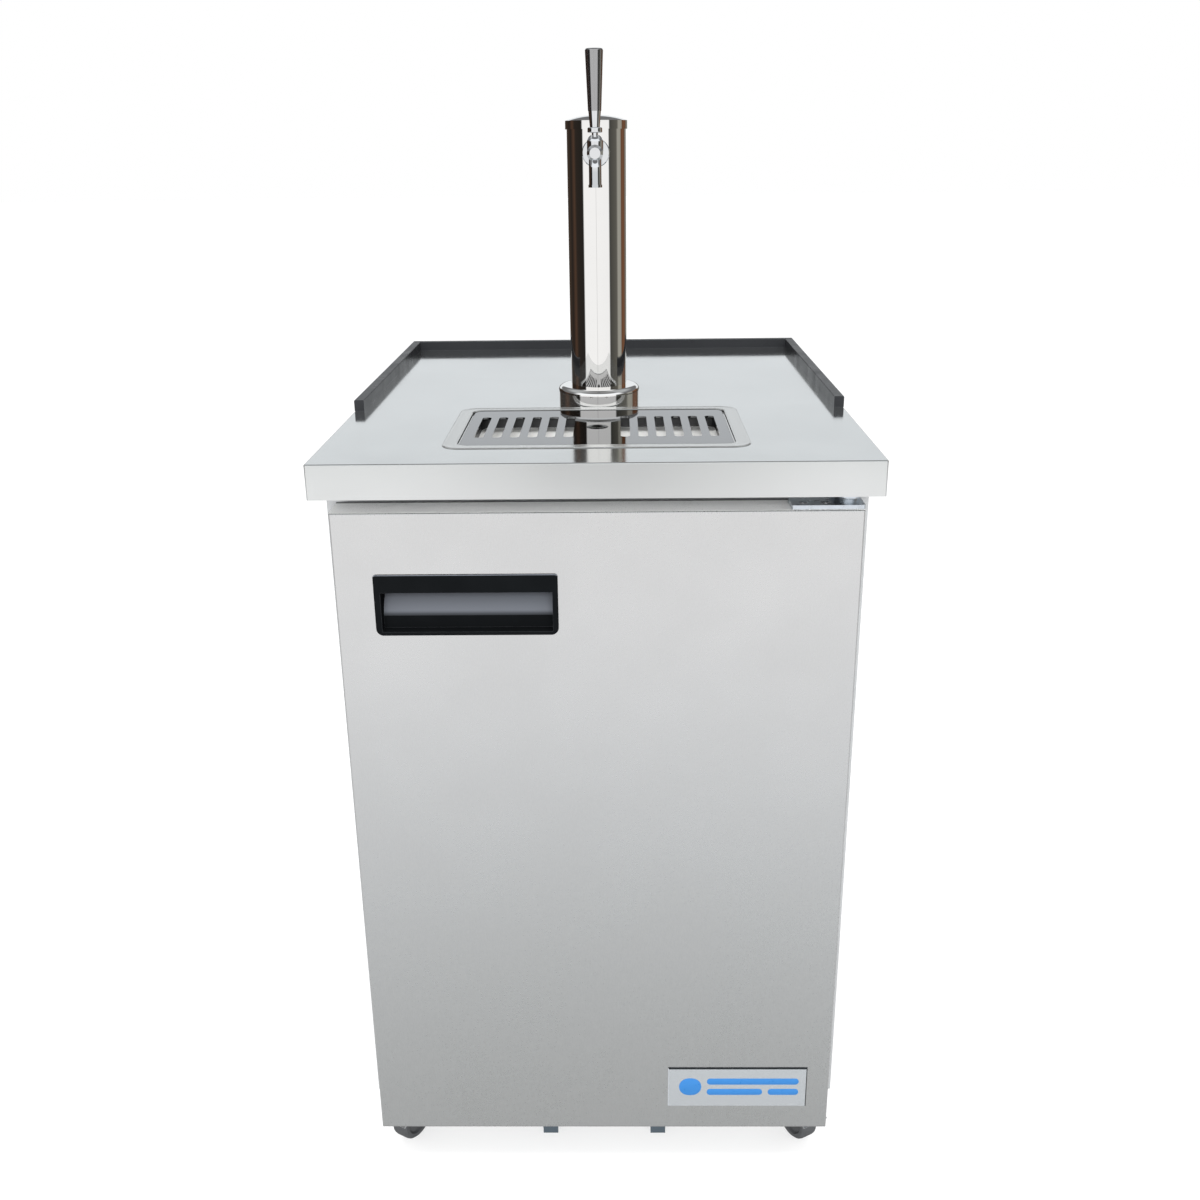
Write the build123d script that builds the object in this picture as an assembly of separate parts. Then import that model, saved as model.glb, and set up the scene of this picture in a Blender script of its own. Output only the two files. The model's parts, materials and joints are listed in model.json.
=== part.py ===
"""Single-tap draught beer cooler, as an assembly of its separate pieces.

Millimetres, +Z up. The origin is on the floor under the centre of the footprint,
and the door faces -Y. Each piece is written to parts/NAME.step.
"""
import os
from math import cos, radians, sin

from build123d import *

# ---------------------------------------------------------------- cabinet body
CASTOR_HEIGHT = 77.0            # floor to the underside of the base
HALF_WIDTH = 297.0              # outside of the side panels
FRONT_Y = -303.0                # face that the door gasket closes on
BACK_Y = 372.0
BODY_TOP = 902.0                # underside of the worktop
SKIN = 1.2                      # outer panel sheet
BASE_SHEET = 2.0
FRAME_DEPTH = 13.0
PANEL_TOP = 400.0               # top of the rear louvre panel
LOUVRE_X, LOUVRE_FIRST, LOUVRE_PITCH, LOUVRE_ROWS = 135.0, 165.0, 19.0, 11
LOUVRE_WIDTH, LOUVRE_HEIGHT = 200.0, 8.0
PANEL_SCREW_X, PANEL_SCREW_Z = 272.0, (100.0, 240.0, 388.0)
SPARE_HOLE_X, SPARE_HOLE_Z = (-241.0, -216.0), 892.0
SCREW_RADIUS, BOLT_RADIUS = 2.5, 3.0
STAY_X, STAY_WIDTH = 71.0, 19.5  # bent flat bars under the front edge
STAY_Y, STAY_Z, STAY_SHEET = (-312.0, -230.0), 12.0, 5.0

# ------------------------------------------------------------- insulated space
INNER_HALF_WIDTH = 249.0
INNER_FLOOR = 125.0
INNER_CEILING = 855.0
INNER_BACK = 330.0
LINER = 1.0
STEP_Y = 135.0                  # front of the step over the machine space
STEP_Z = 401.0                  # top of that step
MACHINE_FRONT = 181.0
MACHINE_TOP = 354.0

# -------------------------------------------------------------------- worktop
TOP_HALF_WIDTH = 300.0
TOP_HALF_DEPTH = 377.5
TOP_Z = 940.0
TOP_SHEET = 1.5
TOP_EDGE_RADIUS = 2.5
RAIL_WIDTH = 12.0
RAIL_HEIGHT = 13.5
RAIL_FRONT = -106.0

# ------------------------------------------------------------------ drip tray
TRAY_RIM = 1.0
TRAY_SHEET = 1.2
TRAY_CENTRE_Y = -210.0
RIM_X, RIM_Y = 168.0, (-313.0, -96.0)
RECESS_X, RECESS_Y, RECESS_Z = 152.0, (-308.5, -111.5), 937.7
WELL_X, WELL_Y, WELL_Z = 142.0, (-299.0, -121.0), 920.0
GRILLE_X, GRILLE_Y, GRILLE_Z = 150.0, (-307.0, -113.0), (938.0, 940.0)
SLOT_FIRST, SLOT_PITCH, SLOTS_PER_SIDE = 32.0, 20.0, 6
SLOT_WIDTH, SLOT_CORNER, SLOT_Y = 10.6, 4.5, (-258.0, -150.0)
FINGER_HOLE_Y, FINGER_HOLE_RADIUS = -207.0, 12.5
DRAIN_RADIUS, DRAIN_BORE, DRAIN_END = 7.5, 6.0, 835.0
POCKET_MARGIN = 3.0             # room round the tray in the worktop
TRAY_CORNER = 13.0              # corner radius of recess and well

# ---------------------------------------------------------------------- tower
TOWER_Y = -45.0
TOWER_RADIUS = 35.0
TOWER_WALL = 1.5
TOWER_TOP = 1262.0
FLANGE_RADIUS = 51.3
FLANGE_HEIGHT = 20.0
FLANGE_EDGE = 7.0
CAP_RADIUS, CAP_SIDE_TOP, CAP_TOP = 36.7, 1271.5, 1277.5
TOWER_BOLT_CIRCLE, TOWER_BOLT_RADIUS = 42.5, 2.5
SERVICE_HOLE = 20.0             # passage for the beer line through the top
LINE_RADIUS, LINE_BORE = 4.8, 3.2
UNION_RADIUS, UNION_BORE, UNION_HEIGHT = 16.0, 10.6, 16.0
LINE_TOP, LINE_END = 1218.0, 832.0

# --------------------------------------------------------------------- faucet
TAP_Z = 1236.0                  # axis of shank and faucet barrel
LEVER_Y = -142.0                # axis of lever and bonnet
LEVER_Z = 1247.0                # ball pivot of the lever
LEVER_SWING = 25.0
SPOUT_Y = -154.0
SPOUT_RADIUS, SPOUT_BORE, SPOUT_END = 7.0, 4.5, 1200.0
BARREL_RADIUS, BARREL_BORE = 9.0, 6.5
BARREL_BACK, BARREL_FRONT = -94.0, -151.0
SHANK_RADIUS = 11.0
NUT_RADIUS = 16.0
SADDLE_Y = TOWER_Y - 41.0       # front of the shank's saddle on the tower
SPANNER_HOLES = 8
BONNET_RADIUS, BONNET_SLOT = 9.2, 3.9
BALL_RADIUS, BALL_GAP = 5.0, 0.4
HANDLE_BOTTOM, HANDLE_TOP = 1280.0, 1343.5

# ----------------------------------------------------------------------- door
DOOR_HALF_WIDTH = 283.0
DOOR_Z = (66.5, 883.0)
DOOR_FRONT, DOOR_BACK = -360.5, -315.0
DOOR_SHEET = 1.0
GASKET_Y = (-315.0, -303.3)
GASKET_OUT, GASKET_IN = 18.0, 2.0
PULL_X, PULL_Z = (-241.0, -42.0), (744.5, 814.5)
POCKET_X, POCKET_Z, POCKET_BACK = (-237.0, -45.0), (746.5, 811.0), -324.0
PULL_WALL, PULL_PROUD = 2.5, 2.0
MOUTH_Z = (749.0, 794.0)
BADGE_X, BADGE_Z, BADGE_THICKNESS = (81.5, 255.5), (101.5, 161.0), 2.0
HINGE_X, HINGE_Y = 268.0, -338.0
PIN_RADIUS, RUNNING_GAP = 5.0, 0.05
BRACKET_X = (254.0, 283.0)
BRACKET_SHEET = 4.0
TOP_LEG_Z, BOTTOM_LEG_Z = (893.0, 897.0), (61.5, 65.0)
TOP_LEG_DROP, BOTTOM_LEG_RISE = 874.5, 104.0
HINGE_PLATE_X, HINGE_PLATE_Y, HINGE_PLATE_Z = (206.0, 283.0), (-358.0, -320.0), (883.4, 887.6)
HINGE_PLATE_SCREWS = [(219.0, -346.5), (243.0, -346.5)]
BUSH_RADIUS, BUSH_DEPTH = 8.0, 18.0
BRACKET_SCREWS = ((7.0, 84.0), (-7.0, 97.0), (7.0, 880.0), (-7.0, 887.5))

# -------------------------------------------------------------------- castors
WHEEL_RADIUS, WHEEL_WIDTH = 28.5, 24.0
TRAIL = 30.0
AXLE_RADIUS = 4.0
KINGPIN_RADIUS = 6.0
FORK_GAP, FORK_SHEET = 1.5, 2.5
CROWN_Z = (60.0, 63.7)
PEDAL_PIVOT = (20.0, 52.0)
CASTORS = {                     # kingpin x, y, trailing direction, braked
    "front_left": (-242.0, -271.0, -120.0, True),
    "front_right": (242.0, -271.0, -60.0, True),
    "rear_left": (-242.0, 300.0, 110.0, False),
    "rear_right": (242.0, 300.0, 66.0, False),
}
CASTOR_BOLTS = [(x, y) for x in (-24.0, 24.0) for y in (-15.0, 15.0)]
CASTOR_PLATE = 3.0
PEDAL_SHEET, PEDAL_GAP = 2.0, 0.4

# ------------------------------------------------------------- cooling system
COMPRESSOR_AT, COMPRESSOR_RADIUS, COMPRESSOR_Z = (130.0, 272.0), 70.0, (92.0, 236.0)
CONDENSER_FAN_AT, CONDENSER_FAN_RADIUS = (-155.0, 190.0), 78.0
EVAPORATOR_FAN_AT, EVAPORATOR_FAN_RADIUS = (100.0, 732.0), 48.0
COVER_X, COVER_Y, COVER_Z = (-235.0, 235.0), (288.0, 330.0), (625.0, 845.0)
PIPE_RADIUS = 3.5
SUCTION_AT = (222.0, 316.0)
KNOB_X, KNOB_Z, KNOB_RADIUS = -185.0, 805.0, 14.0
GLAND_AT, GLAND_BORE, GLAND_BODY, GLAND_COLLAR = (215.0, 120.0), 4.2, 9.0, 12.0


# -------------------------------------------------------------- small builders
def block(x, y, z):
    """Box between the (low, high) limits along each axis."""
    limits = (x, y, z)
    size = [high - low for low, high in limits]
    centre = [(high + low) / 2 for low, high in limits]
    return Pos(*centre) * Box(*size)


def both(half):
    """Limits symmetric about zero."""
    return (-half, half)


def rod(radius, start, end):
    """Cylinder between two points."""
    span = Vector(*end) - Vector(*start)
    plane = Plane(origin=start, z_dir=span)
    return plane * Cylinder(radius, span.length, align=(Align.CENTER, Align.CENTER, Align.MIN))


def tube(outer, inner, start, end):
    """Hollow cylinder between two points."""
    return rod(outer, start, end) - rod(inner, start, end)


def upright(radius, at, z):
    """Vertical cylinder at an (x, y) point, between two heights."""
    return rod(radius, (*at, z[0]), (*at, z[1]))


def turned(outline, at=(0.0, 0.0)):
    """Solid of revolution about a vertical axis, from (radius, height) points."""
    face = make_face(Polyline([(radius, 0, height) for radius, height in outline], close=True))
    return Pos(*at, 0) * revolve(face, Axis.Z)


def slab(x, y, z, radius):
    """Box with rounded vertical corners."""
    width, depth = x[1] - x[0], y[1] - y[0]
    outline = RectangleRounded(width, depth, radius)
    return Pos((x[0] + x[1]) / 2, (y[0] + y[1]) / 2, z[0]) * extrude(outline, z[1] - z[0])


def side_profile(points, x):
    """Prism along X, from (y, z) points."""
    face = make_face(Polyline([(x[0], y, z) for y, z in points], close=True))
    return extrude(face, x[1] - x[0], dir=(1, 0, 0))


def pipe(points, bend, radius):
    """Round tube solid along straight runs joined by arcs."""
    path = FilletPolyline(*points, radius=bend)
    start = Plane(origin=points[0], z_dir=path % 0)
    return sweep(start * Circle(radius), path=path)


def screw(seat, direction, head, shank):
    """Pan-head screw with (radius, length) head and shank; the head sits on seat."""
    plane = Plane(origin=seat, z_dir=direction)
    head_part = plane * Pos(0, 0, -head[1] / 2) * Cylinder(*head)
    top_edge = head_part.edges().group_by(lambda edge: (edge.center() - Vector(*seat)).length)[-1]
    head_part = fillet(top_edge, head[1] * 0.4)
    return head_part + plane * Pos(0, 0, shank[1] / 2) * Cylinder(*shank)


def group(*solids):
    """Separate solids that share one node."""
    return Compound(children=[solid for item in solids for solid in item.solids()])


# -------------------------------------------------------------------- cabinet
def castor_bolt_points():
    for x, y, _, _ in CASTORS.values():
        for bolt_x, bolt_y in CASTOR_BOLTS:
            yield x + bolt_x, y + bolt_y


def base_pan():
    pan = block(both(HALF_WIDTH), (FRONT_Y + FRAME_DEPTH, BACK_Y),
                (CASTOR_HEIGHT, CASTOR_HEIGHT + BASE_SHEET))
    for at in castor_bolt_points():
        pan -= upright(BOLT_RADIUS + RUNNING_GAP, at,
                       (CASTOR_HEIGHT - 1, CASTOR_HEIGHT + BASE_SHEET + 1))
    return pan


def side_panel(side):
    outer = side * HALF_WIDTH
    inner = side * (HALF_WIDTH - SKIN)
    return block(sorted((outer, inner)), (FRONT_Y + FRAME_DEPTH, BACK_Y),
                 (CASTOR_HEIGHT + BASE_SHEET, BODY_TOP))


def outer_panels():
    back = block(both(HALF_WIDTH - SKIN), (BACK_Y - SKIN, BACK_Y), (PANEL_TOP, BODY_TOP))
    return group(side_panel(-1), side_panel(1), back)


def hinge_screw_points():
    """Screw seats on the two hinge brackets' upright legs."""
    for offset, z in BRACKET_SCREWS:
        yield sum(BRACKET_X) / 2 + offset, FRONT_Y - BRACKET_SHEET, z


def spare_hole_screw_points():
    """Screws that close the left-hand hinge's holes."""
    return [(x, FRONT_Y, SPARE_HOLE_Z) for x in SPARE_HOLE_X]


def front_frame():
    y = (FRONT_Y, FRONT_Y + FRAME_DEPTH)
    stile = (INNER_HALF_WIDTH, HALF_WIDTH)
    left = block((-stile[1], -stile[0]), y, (CASTOR_HEIGHT, BODY_TOP))
    right = block(stile, y, (CASTOR_HEIGHT, BODY_TOP))
    bottom = block(both(stile[0]), y, (CASTOR_HEIGHT, INNER_FLOOR))
    top = block(both(stile[0]), y, (INNER_CEILING, BODY_TOP))
    for x, _, z in list(hinge_screw_points()) + spare_hole_screw_points():
        hole = rod(SCREW_RADIUS + RUNNING_GAP, (x, y[0] - 1, z), (x, y[0] + 10.5, z))
        left, right, top = left - hole, right - hole, top - hole
    return group(left, right, bottom, top)


def cabinet_foam():
    """Foamed walls, floor, step, back and ceiling, then the core of the worktop."""
    side = (INNER_HALF_WIDTH + LINER, HALF_WIDTH - SKIN)
    y = (FRONT_Y + FRAME_DEPTH, BACK_Y - SKIN)
    bottom = CASTOR_HEIGHT + BASE_SHEET
    inner = both(side[0])
    wall_right = block(side, y, (bottom, BODY_TOP))
    wall_left = block((-side[1], -side[0]), y, (bottom, BODY_TOP))
    floor = block(inner, (y[0], MACHINE_FRONT), (bottom, INNER_FLOOR - LINER))
    step_front = block(inner, (STEP_Y + LINER, MACHINE_FRONT), (INNER_FLOOR - LINER, STEP_Z - LINER))
    step_top = block(inner, (MACHINE_FRONT, y[1]), (MACHINE_TOP, STEP_Z - LINER))
    step_top -= upright(PIPE_RADIUS + 1, SUCTION_AT, (MACHINE_TOP - 1, STEP_Z))
    back = block(inner, (INNER_BACK + LINER, y[1]), (STEP_Z - LINER, BODY_TOP))
    ceiling = block(inner, (y[0], INNER_BACK + LINER), (INNER_CEILING + LINER, BODY_TOP))
    for radius, at in ((SERVICE_HOLE, TOWER_Y), (DRAIN_RADIUS + 1, TRAY_CENTRE_Y)):
        ceiling -= upright(radius, (0, at), (INNER_CEILING, BODY_TOP + 1))
    return group(wall_left, wall_right, floor, step_front, step_top, back, ceiling, worktop_core())


def worktop_core():
    """Five blocks under the worktop sheet, leaving the tray's pocket free."""
    x_out, y_out = TOP_HALF_WIDTH - TOP_SHEET, TOP_HALF_DEPTH - TOP_SHEET
    pocket_x, pocket_y = tray_pocket()
    z = (BODY_TOP, TOP_Z - TOP_SHEET)
    front = block(both(x_out), (-y_out, pocket_y[0]), z)
    back = block(both(x_out), (pocket_y[1], y_out), z)
    back -= upright(SERVICE_HOLE, (0, TOWER_Y), (z[0] - 1, z[1] + 1))
    back -= upright(FLANGE_RADIUS, (0, TOWER_Y), (z[1] - 12, z[1] + 1))
    left = block((-x_out, -pocket_x), pocket_y, z)
    right = block((pocket_x, x_out), pocket_y, z)
    under = block(both(pocket_x), pocket_y, (BODY_TOP, WELL_Z - POCKET_MARGIN))
    under -= upright(DRAIN_RADIUS + 1, (0, TRAY_CENTRE_Y), (BODY_TOP - 1, WELL_Z))
    hem = worktop_hem()
    return group(*[part - hem for part in (front, back, left, right, under)])


def inner_liner():
    def room(grow):
        """Inside space, grown by the sheet's thickness on the closed sides."""
        y = (FRONT_Y + FRAME_DEPTH, INNER_BACK + grow)
        z = (INNER_FLOOR - grow, INNER_CEILING + grow)
        space = block(both(INNER_HALF_WIDTH + grow), y, z)
        return space - block(both(300), (STEP_Y + grow, 400), (0, STEP_Z - grow))

    liner = room(LINER) - room(0)
    for radius, at in ((SERVICE_HOLE, TOWER_Y), (DRAIN_RADIUS + 1, TRAY_CENTRE_Y)):
        liner -= upright(radius, (0, at), (INNER_CEILING - 1, INNER_CEILING + 5))
    return liner - upright(PIPE_RADIUS + 1, SUCTION_AT, (STEP_Z - 5, STEP_Z + 1))


def rear_louvre_panel():
    panel = block(both(HALF_WIDTH - SKIN), (BACK_Y - SKIN, BACK_Y),
                  (CASTOR_HEIGHT + BASE_SHEET, PANEL_TOP))
    for x in (-LOUVRE_X, LOUVRE_X):
        for row in range(LOUVRE_ROWS):
            z = LOUVRE_FIRST + LOUVRE_PITCH * row
            panel -= Pos(x, BACK_Y, z) * Box(LOUVRE_WIDTH, 10, LOUVRE_HEIGHT)
    panel -= rod(GLAND_BODY + RUNNING_GAP, (GLAND_AT[0], BACK_Y - 5, GLAND_AT[1]),
                 (GLAND_AT[0], BACK_Y + 5, GLAND_AT[1]))
    for x, z in panel_screw_points():
        panel -= rod(2 + RUNNING_GAP, (x, BACK_Y - 5, z), (x, BACK_Y + 5, z))
    return panel


def panel_screw_points():
    return [(x, z) for x in (-PANEL_SCREW_X, PANEL_SCREW_X) for z in PANEL_SCREW_Z]


def cabinet_screws():
    """Castor bolts, hinge bracket screws, hole plugs and rear panel screws."""
    pieces = [screw((x, y, CASTOR_HEIGHT - CASTOR_PLATE), (0, 0, 1), (5, 3.5), (BOLT_RADIUS, 5))
              for x, y in castor_bolt_points()]
    pieces += [screw(seat, (0, 1, 0), (4.5, 2.2), (SCREW_RADIUS, 14))
               for seat in hinge_screw_points()]
    pieces += [screw(seat, (0, 1, 0), (5.5, 2.5), (SCREW_RADIUS, 10))
               for seat in spare_hole_screw_points()]
    pieces += [screw((x, BACK_Y, z), (0, -1, 0), (4.2, 2.2), (2, SKIN))
               for x, z in panel_screw_points()]
    return group(*pieces)


def cord_gland():
    """Strain-relief bush that a supply cord comes out of."""
    x, z = GLAND_AT
    collar = tube(GLAND_COLLAR, GLAND_BORE, (x, BACK_Y, z), (x, BACK_Y + 4.5, z))
    return collar + tube(GLAND_BODY, GLAND_BORE, (x, BACK_Y - 11, z), (x, BACK_Y + 1, z))


def anti_tip_brackets():
    """Two bent flat bars under the front edge that stop the cabinet tipping."""
    front, back = STAY_Y
    heel, lap = CASTOR_HEIGHT - STAY_SHEET, CASTOR_HEIGHT - 0.3
    outline = [(front, STAY_Z), (front + STAY_SHEET, STAY_Z), (front + STAY_SHEET, heel),
               (back, heel), (back, CASTOR_HEIGHT), (front, CASTOR_HEIGHT)]
    bars = []
    for x in (-STAY_X, STAY_X):
        width = (x - STAY_WIDTH / 2, x + STAY_WIDTH / 2)
        under_frame = block(width, (front - 1, FRONT_Y + FRAME_DEPTH), (lap, CASTOR_HEIGHT + 1))
        bars.append(side_profile(outline, width) - under_frame)
    return group(*bars)


# -------------------------------------------------------------------- worktop
def tray_pocket():
    x = RECESS_X + POCKET_MARGIN
    return x, (RECESS_Y[0] - POCKET_MARGIN, RECESS_Y[1] + POCKET_MARGIN)


def tower_bolt_points():
    for angle in (90, 210, 330):
        yield (TOWER_BOLT_CIRCLE * cos(radians(angle)),
               TOWER_Y + TOWER_BOLT_CIRCLE * sin(radians(angle)))


def worktop_hem():
    """Return of the worktop's sheet under its overhang, in to the cabinet's outline."""
    z = (BODY_TOP, BODY_TOP + TOP_SHEET)
    ring = block(both(TOP_HALF_WIDTH - 1), both(TOP_HALF_DEPTH - 1), z)
    return ring - block(both(HALF_WIDTH), (FRONT_Y, BACK_Y), (z[0] - 1, z[1] + 1))


def worktop():
    outer = block(both(TOP_HALF_WIDTH), both(TOP_HALF_DEPTH), (BODY_TOP, TOP_Z))
    outer = fillet(outer.edges().filter_by(Axis.Z), TOP_EDGE_RADIUS)
    outer = fillet(outer.edges().group_by(Axis.Z)[-1], TOP_EDGE_RADIUS - 1)
    sheet = outer - block(both(TOP_HALF_WIDTH - TOP_SHEET), both(TOP_HALF_DEPTH - TOP_SHEET),
                          (BODY_TOP - 1, TOP_Z - TOP_SHEET))
    sheet += worktop_hem()
    pocket_x, pocket_y = tray_pocket()
    sheet -= slab(both(pocket_x), pocket_y, (TOP_Z - 5, TOP_Z + 5), TRAY_CORNER + 1)
    sheet -= upright(SERVICE_HOLE + 10, (0, TOWER_Y), (TOP_Z - 5, TOP_Z + 5))
    for at in tower_bolt_points():
        sheet -= upright(TOWER_BOLT_RADIUS + RUNNING_GAP, at, (TOP_Z - 5, TOP_Z + 5))
    return sheet


def worktop_rails():
    """Low black edge strips along both sides and the back."""
    z = (TOP_Z, TOP_Z + RAIL_HEIGHT)
    inner = TOP_HALF_WIDTH - RAIL_WIDTH
    back_front = TOP_HALF_DEPTH - RAIL_WIDTH
    left = block((-TOP_HALF_WIDTH, -inner), (RAIL_FRONT, back_front), z)
    right = block((inner, TOP_HALF_WIDTH), (RAIL_FRONT, back_front), z)
    back = block(both(TOP_HALF_WIDTH), (back_front, TOP_HALF_DEPTH), z)
    rails = [fillet(rail.edges().group_by(Axis.Z)[-1], 1.2) for rail in (left, right, back)]
    return group(*rails)


def drip_tray():
    grow = TRAY_SHEET
    rim = slab(both(RIM_X), RIM_Y, (TOP_Z, TOP_Z + TRAY_RIM), 20)
    rim = fillet(rim.edges().group_by(Axis.Z)[-1], 0.8)
    recess = slab(both(RECESS_X + grow), (RECESS_Y[0] - grow, RECESS_Y[1] + grow),
                  (RECESS_Z - grow, TOP_Z + 0.5), TRAY_CORNER + 1)
    well = slab(both(WELL_X + grow), (WELL_Y[0] - grow, WELL_Y[1] + grow),
                (WELL_Z - grow, RECESS_Z), TRAY_CORNER + 1)
    tray = rim + recess + well + upright(DRAIN_RADIUS, (0, TRAY_CENTRE_Y), (DRAIN_END, WELL_Z))
    tray -= slab(both(RECESS_X), RECESS_Y, (RECESS_Z, TOP_Z + 5), TRAY_CORNER)
    tray -= slab(both(WELL_X), WELL_Y, (WELL_Z, TOP_Z + 5), TRAY_CORNER)
    return tray - upright(DRAIN_BORE, (0, TRAY_CENTRE_Y), (DRAIN_END - 1, WELL_Z + 1))


def drip_grille():
    through = (GRILLE_Z[0] - 1, GRILLE_Z[1] + 1)
    plate = slab(both(GRILLE_X), GRILLE_Y, GRILLE_Z, TRAY_CORNER - 1)
    plate = fillet(plate.edges().group_by(Axis.Z)[-1], 0.9)
    for side in (-1, 1):
        for index in range(SLOTS_PER_SIDE):
            x = side * (SLOT_FIRST + SLOT_PITCH * index)
            plate -= slab((x - SLOT_WIDTH / 2, x + SLOT_WIDTH / 2), SLOT_Y, through,
                          SLOT_CORNER)
    return plate - upright(FINGER_HOLE_RADIUS, (0, FINGER_HOLE_Y), through)


# ---------------------------------------------------------------------- tower
def tower_flange():
    z = (TOP_Z, TOP_Z + FLANGE_HEIGHT)
    ring = upright(FLANGE_RADIUS, (0, TOWER_Y), z)
    ring = fillet(ring.edges().group_by(Axis.Z)[-1], FLANGE_EDGE)
    ring -= upright(TOWER_RADIUS, (0, TOWER_Y), (z[0] - 1, z[1] + 1))
    for at in tower_bolt_points():
        ring -= upright(TOWER_BOLT_RADIUS + RUNNING_GAP, at, (z[0] - 1, z[0] + 11))
    return ring


def tower_screws():
    """Bolts that come up through the worktop sheet into the flange."""
    return group(*[screw((*at, TOP_Z - TOP_SHEET), (0, 0, 1), (4.5, 4), (TOWER_BOLT_RADIUS, 12))
                   for at in tower_bolt_points()])


def tower_column():
    at = (0, TOWER_Y)
    column = upright(TOWER_RADIUS, at, (TOP_Z, TOWER_TOP))
    column -= upright(TOWER_RADIUS - TOWER_WALL, at, (TOP_Z - 1, TOWER_TOP + 1))
    return column - rod(SHANK_RADIUS + RUNNING_GAP, (0, TOWER_Y - 50, TAP_Z), (0, TOWER_Y, TAP_Z))


def tower_cap():
    plug = TOWER_RADIUS - TOWER_WALL - RUNNING_GAP
    outline = [(plug - 2, TOWER_TOP - 10), (plug, TOWER_TOP - 10), (plug, TOWER_TOP),
               (CAP_RADIUS, TOWER_TOP), (CAP_RADIUS, CAP_TOP), (0, CAP_TOP),
               (0, TOWER_TOP + 2), (plug - 2, TOWER_TOP + 2)]
    rise = CAP_TOP - CAP_SIDE_TOP
    crown = (CAP_RADIUS ** 2 + rise ** 2) / (2 * rise)
    cap = turned(outline, (0, TOWER_Y))
    return cap & Pos(0, TOWER_Y, CAP_TOP - crown) * Sphere(crown)


def tower_insulation():
    return tube(TOWER_RADIUS - TOWER_WALL - 0.5, LINE_RADIUS + 1, (0, TOWER_Y, TOP_Z + 2),
                (0, TOWER_Y, LINE_TOP - 8))


def beer_line():
    return tube(LINE_RADIUS, LINE_BORE, (0, TOWER_Y, LINE_END), (0, TOWER_Y, LINE_TOP))


def keg_line_nut():
    """Hexagon union nut at the line's lower end, open below for a keg coupler."""
    bottom = LINE_END - UNION_HEIGHT
    nut = Pos(0, TOWER_Y, bottom) * extrude(RegularPolygon(UNION_RADIUS, 6), UNION_HEIGHT)
    nut -= upright(UNION_BORE, (0, TOWER_Y), (bottom - 1, LINE_END - 4))
    return nut - upright(LINE_BORE, (0, TOWER_Y), (bottom, LINE_END + 1))


# --------------------------------------------------------------------- faucet
def along_barrel(radius, y_start, y_end):
    return rod(radius, (0, y_start, TAP_Z), (0, y_end, TAP_Z))


def faucet_shank():
    """Tube through the tower wall, with a saddle outside and an elbow tail inside."""
    body = along_barrel(SHANK_RADIUS, BARREL_BACK, TOWER_Y + 10)
    saddle = along_barrel(NUT_RADIUS, SADDLE_Y, SADDLE_Y + 11)
    saddle -= upright(TOWER_RADIUS + 0.02, (0, TOWER_Y), (TAP_Z - 30, TAP_Z + 30))
    tail = upright(LINE_RADIUS + 1, (0, TOWER_Y), (LINE_TOP, TAP_Z))
    bore = along_barrel(BARREL_BORE, BARREL_BACK - 1, TOWER_Y)
    tail_bore = upright(LINE_BORE, (0, TOWER_Y), (LINE_TOP - 1, TAP_Z))
    return body + saddle + tail - bore - tail_bore


def faucet_nuts():
    """Outer coupling nut with spanner holes, and the lock nut inside the tower."""
    y_face, y_step, y_back = BARREL_BACK - 3, BARREL_BACK, SADDLE_Y
    coupling = along_barrel(NUT_RADIUS, y_face, y_back)
    coupling = chamfer(coupling.edges().filter_by(GeomType.CIRCLE), 1)
    coupling -= along_barrel(SHANK_RADIUS + RUNNING_GAP, y_step, y_back + 1)
    coupling -= along_barrel(BARREL_RADIUS + RUNNING_GAP, y_face - 1, y_step + 1)
    for index in range(SPANNER_HOLES):
        angle = radians(360 / SPANNER_HOLES * index)
        outward = Vector(sin(angle), 0, cos(angle))
        centre = Vector(0, (y_face + y_back) / 2, TAP_Z)
        coupling -= rod(2, centre + outward * 13.5, centre + outward * 18)
    lock = tube(14, SHANK_RADIUS + RUNNING_GAP, (0, TOWER_Y - 30, TAP_Z), (0, TOWER_Y - 23, TAP_Z))
    return group(coupling, lock)


def spout_route(start):
    return FilletPolyline(start, (0, SPOUT_Y, TAP_Z - 15), (0, SPOUT_Y, SPOUT_END), radius=9)


def spout(radius, start):
    route = spout_route(start)
    return sweep(Plane(origin=start, z_dir=route % 0) * Circle(radius), path=route)


def faucet_body():
    root = (0, LEVER_Y - 3, TAP_Z)
    body = along_barrel(BARREL_RADIUS, BARREL_BACK, BARREL_FRONT)
    nose = along_barrel(BARREL_RADIUS, BARREL_FRONT, BARREL_FRONT - 7)
    body += chamfer(nose.edges().group_by(Axis.Y)[0], 3)
    body += upright(BARREL_RADIUS, (0, LEVER_Y), (TAP_Z, LEVER_Z))
    body += spout(SPOUT_RADIUS, root)
    body += upright(SPOUT_RADIUS + 0.7, (0, SPOUT_Y), (SPOUT_END, SPOUT_END + 3))
    body -= along_barrel(BARREL_BORE, BARREL_BACK - 9, BARREL_FRONT)
    body -= along_barrel(4, BARREL_BACK - 10, BARREL_BACK - 5)
    body -= along_barrel(BARREL_BORE, BARREL_BACK + 1, BARREL_BACK - 6)
    body -= upright(BALL_RADIUS + BALL_GAP, (0, LEVER_Y), (TAP_Z, LEVER_Z + 1))
    body -= Pos(0, LEVER_Y, LEVER_Z) * Sphere(BALL_RADIUS + BALL_GAP)
    body -= spout(SPOUT_BORE, root)
    return body - upright(SPOUT_BORE, (0, SPOUT_Y), (SPOUT_END - 1, SPOUT_END + 2))


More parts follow.
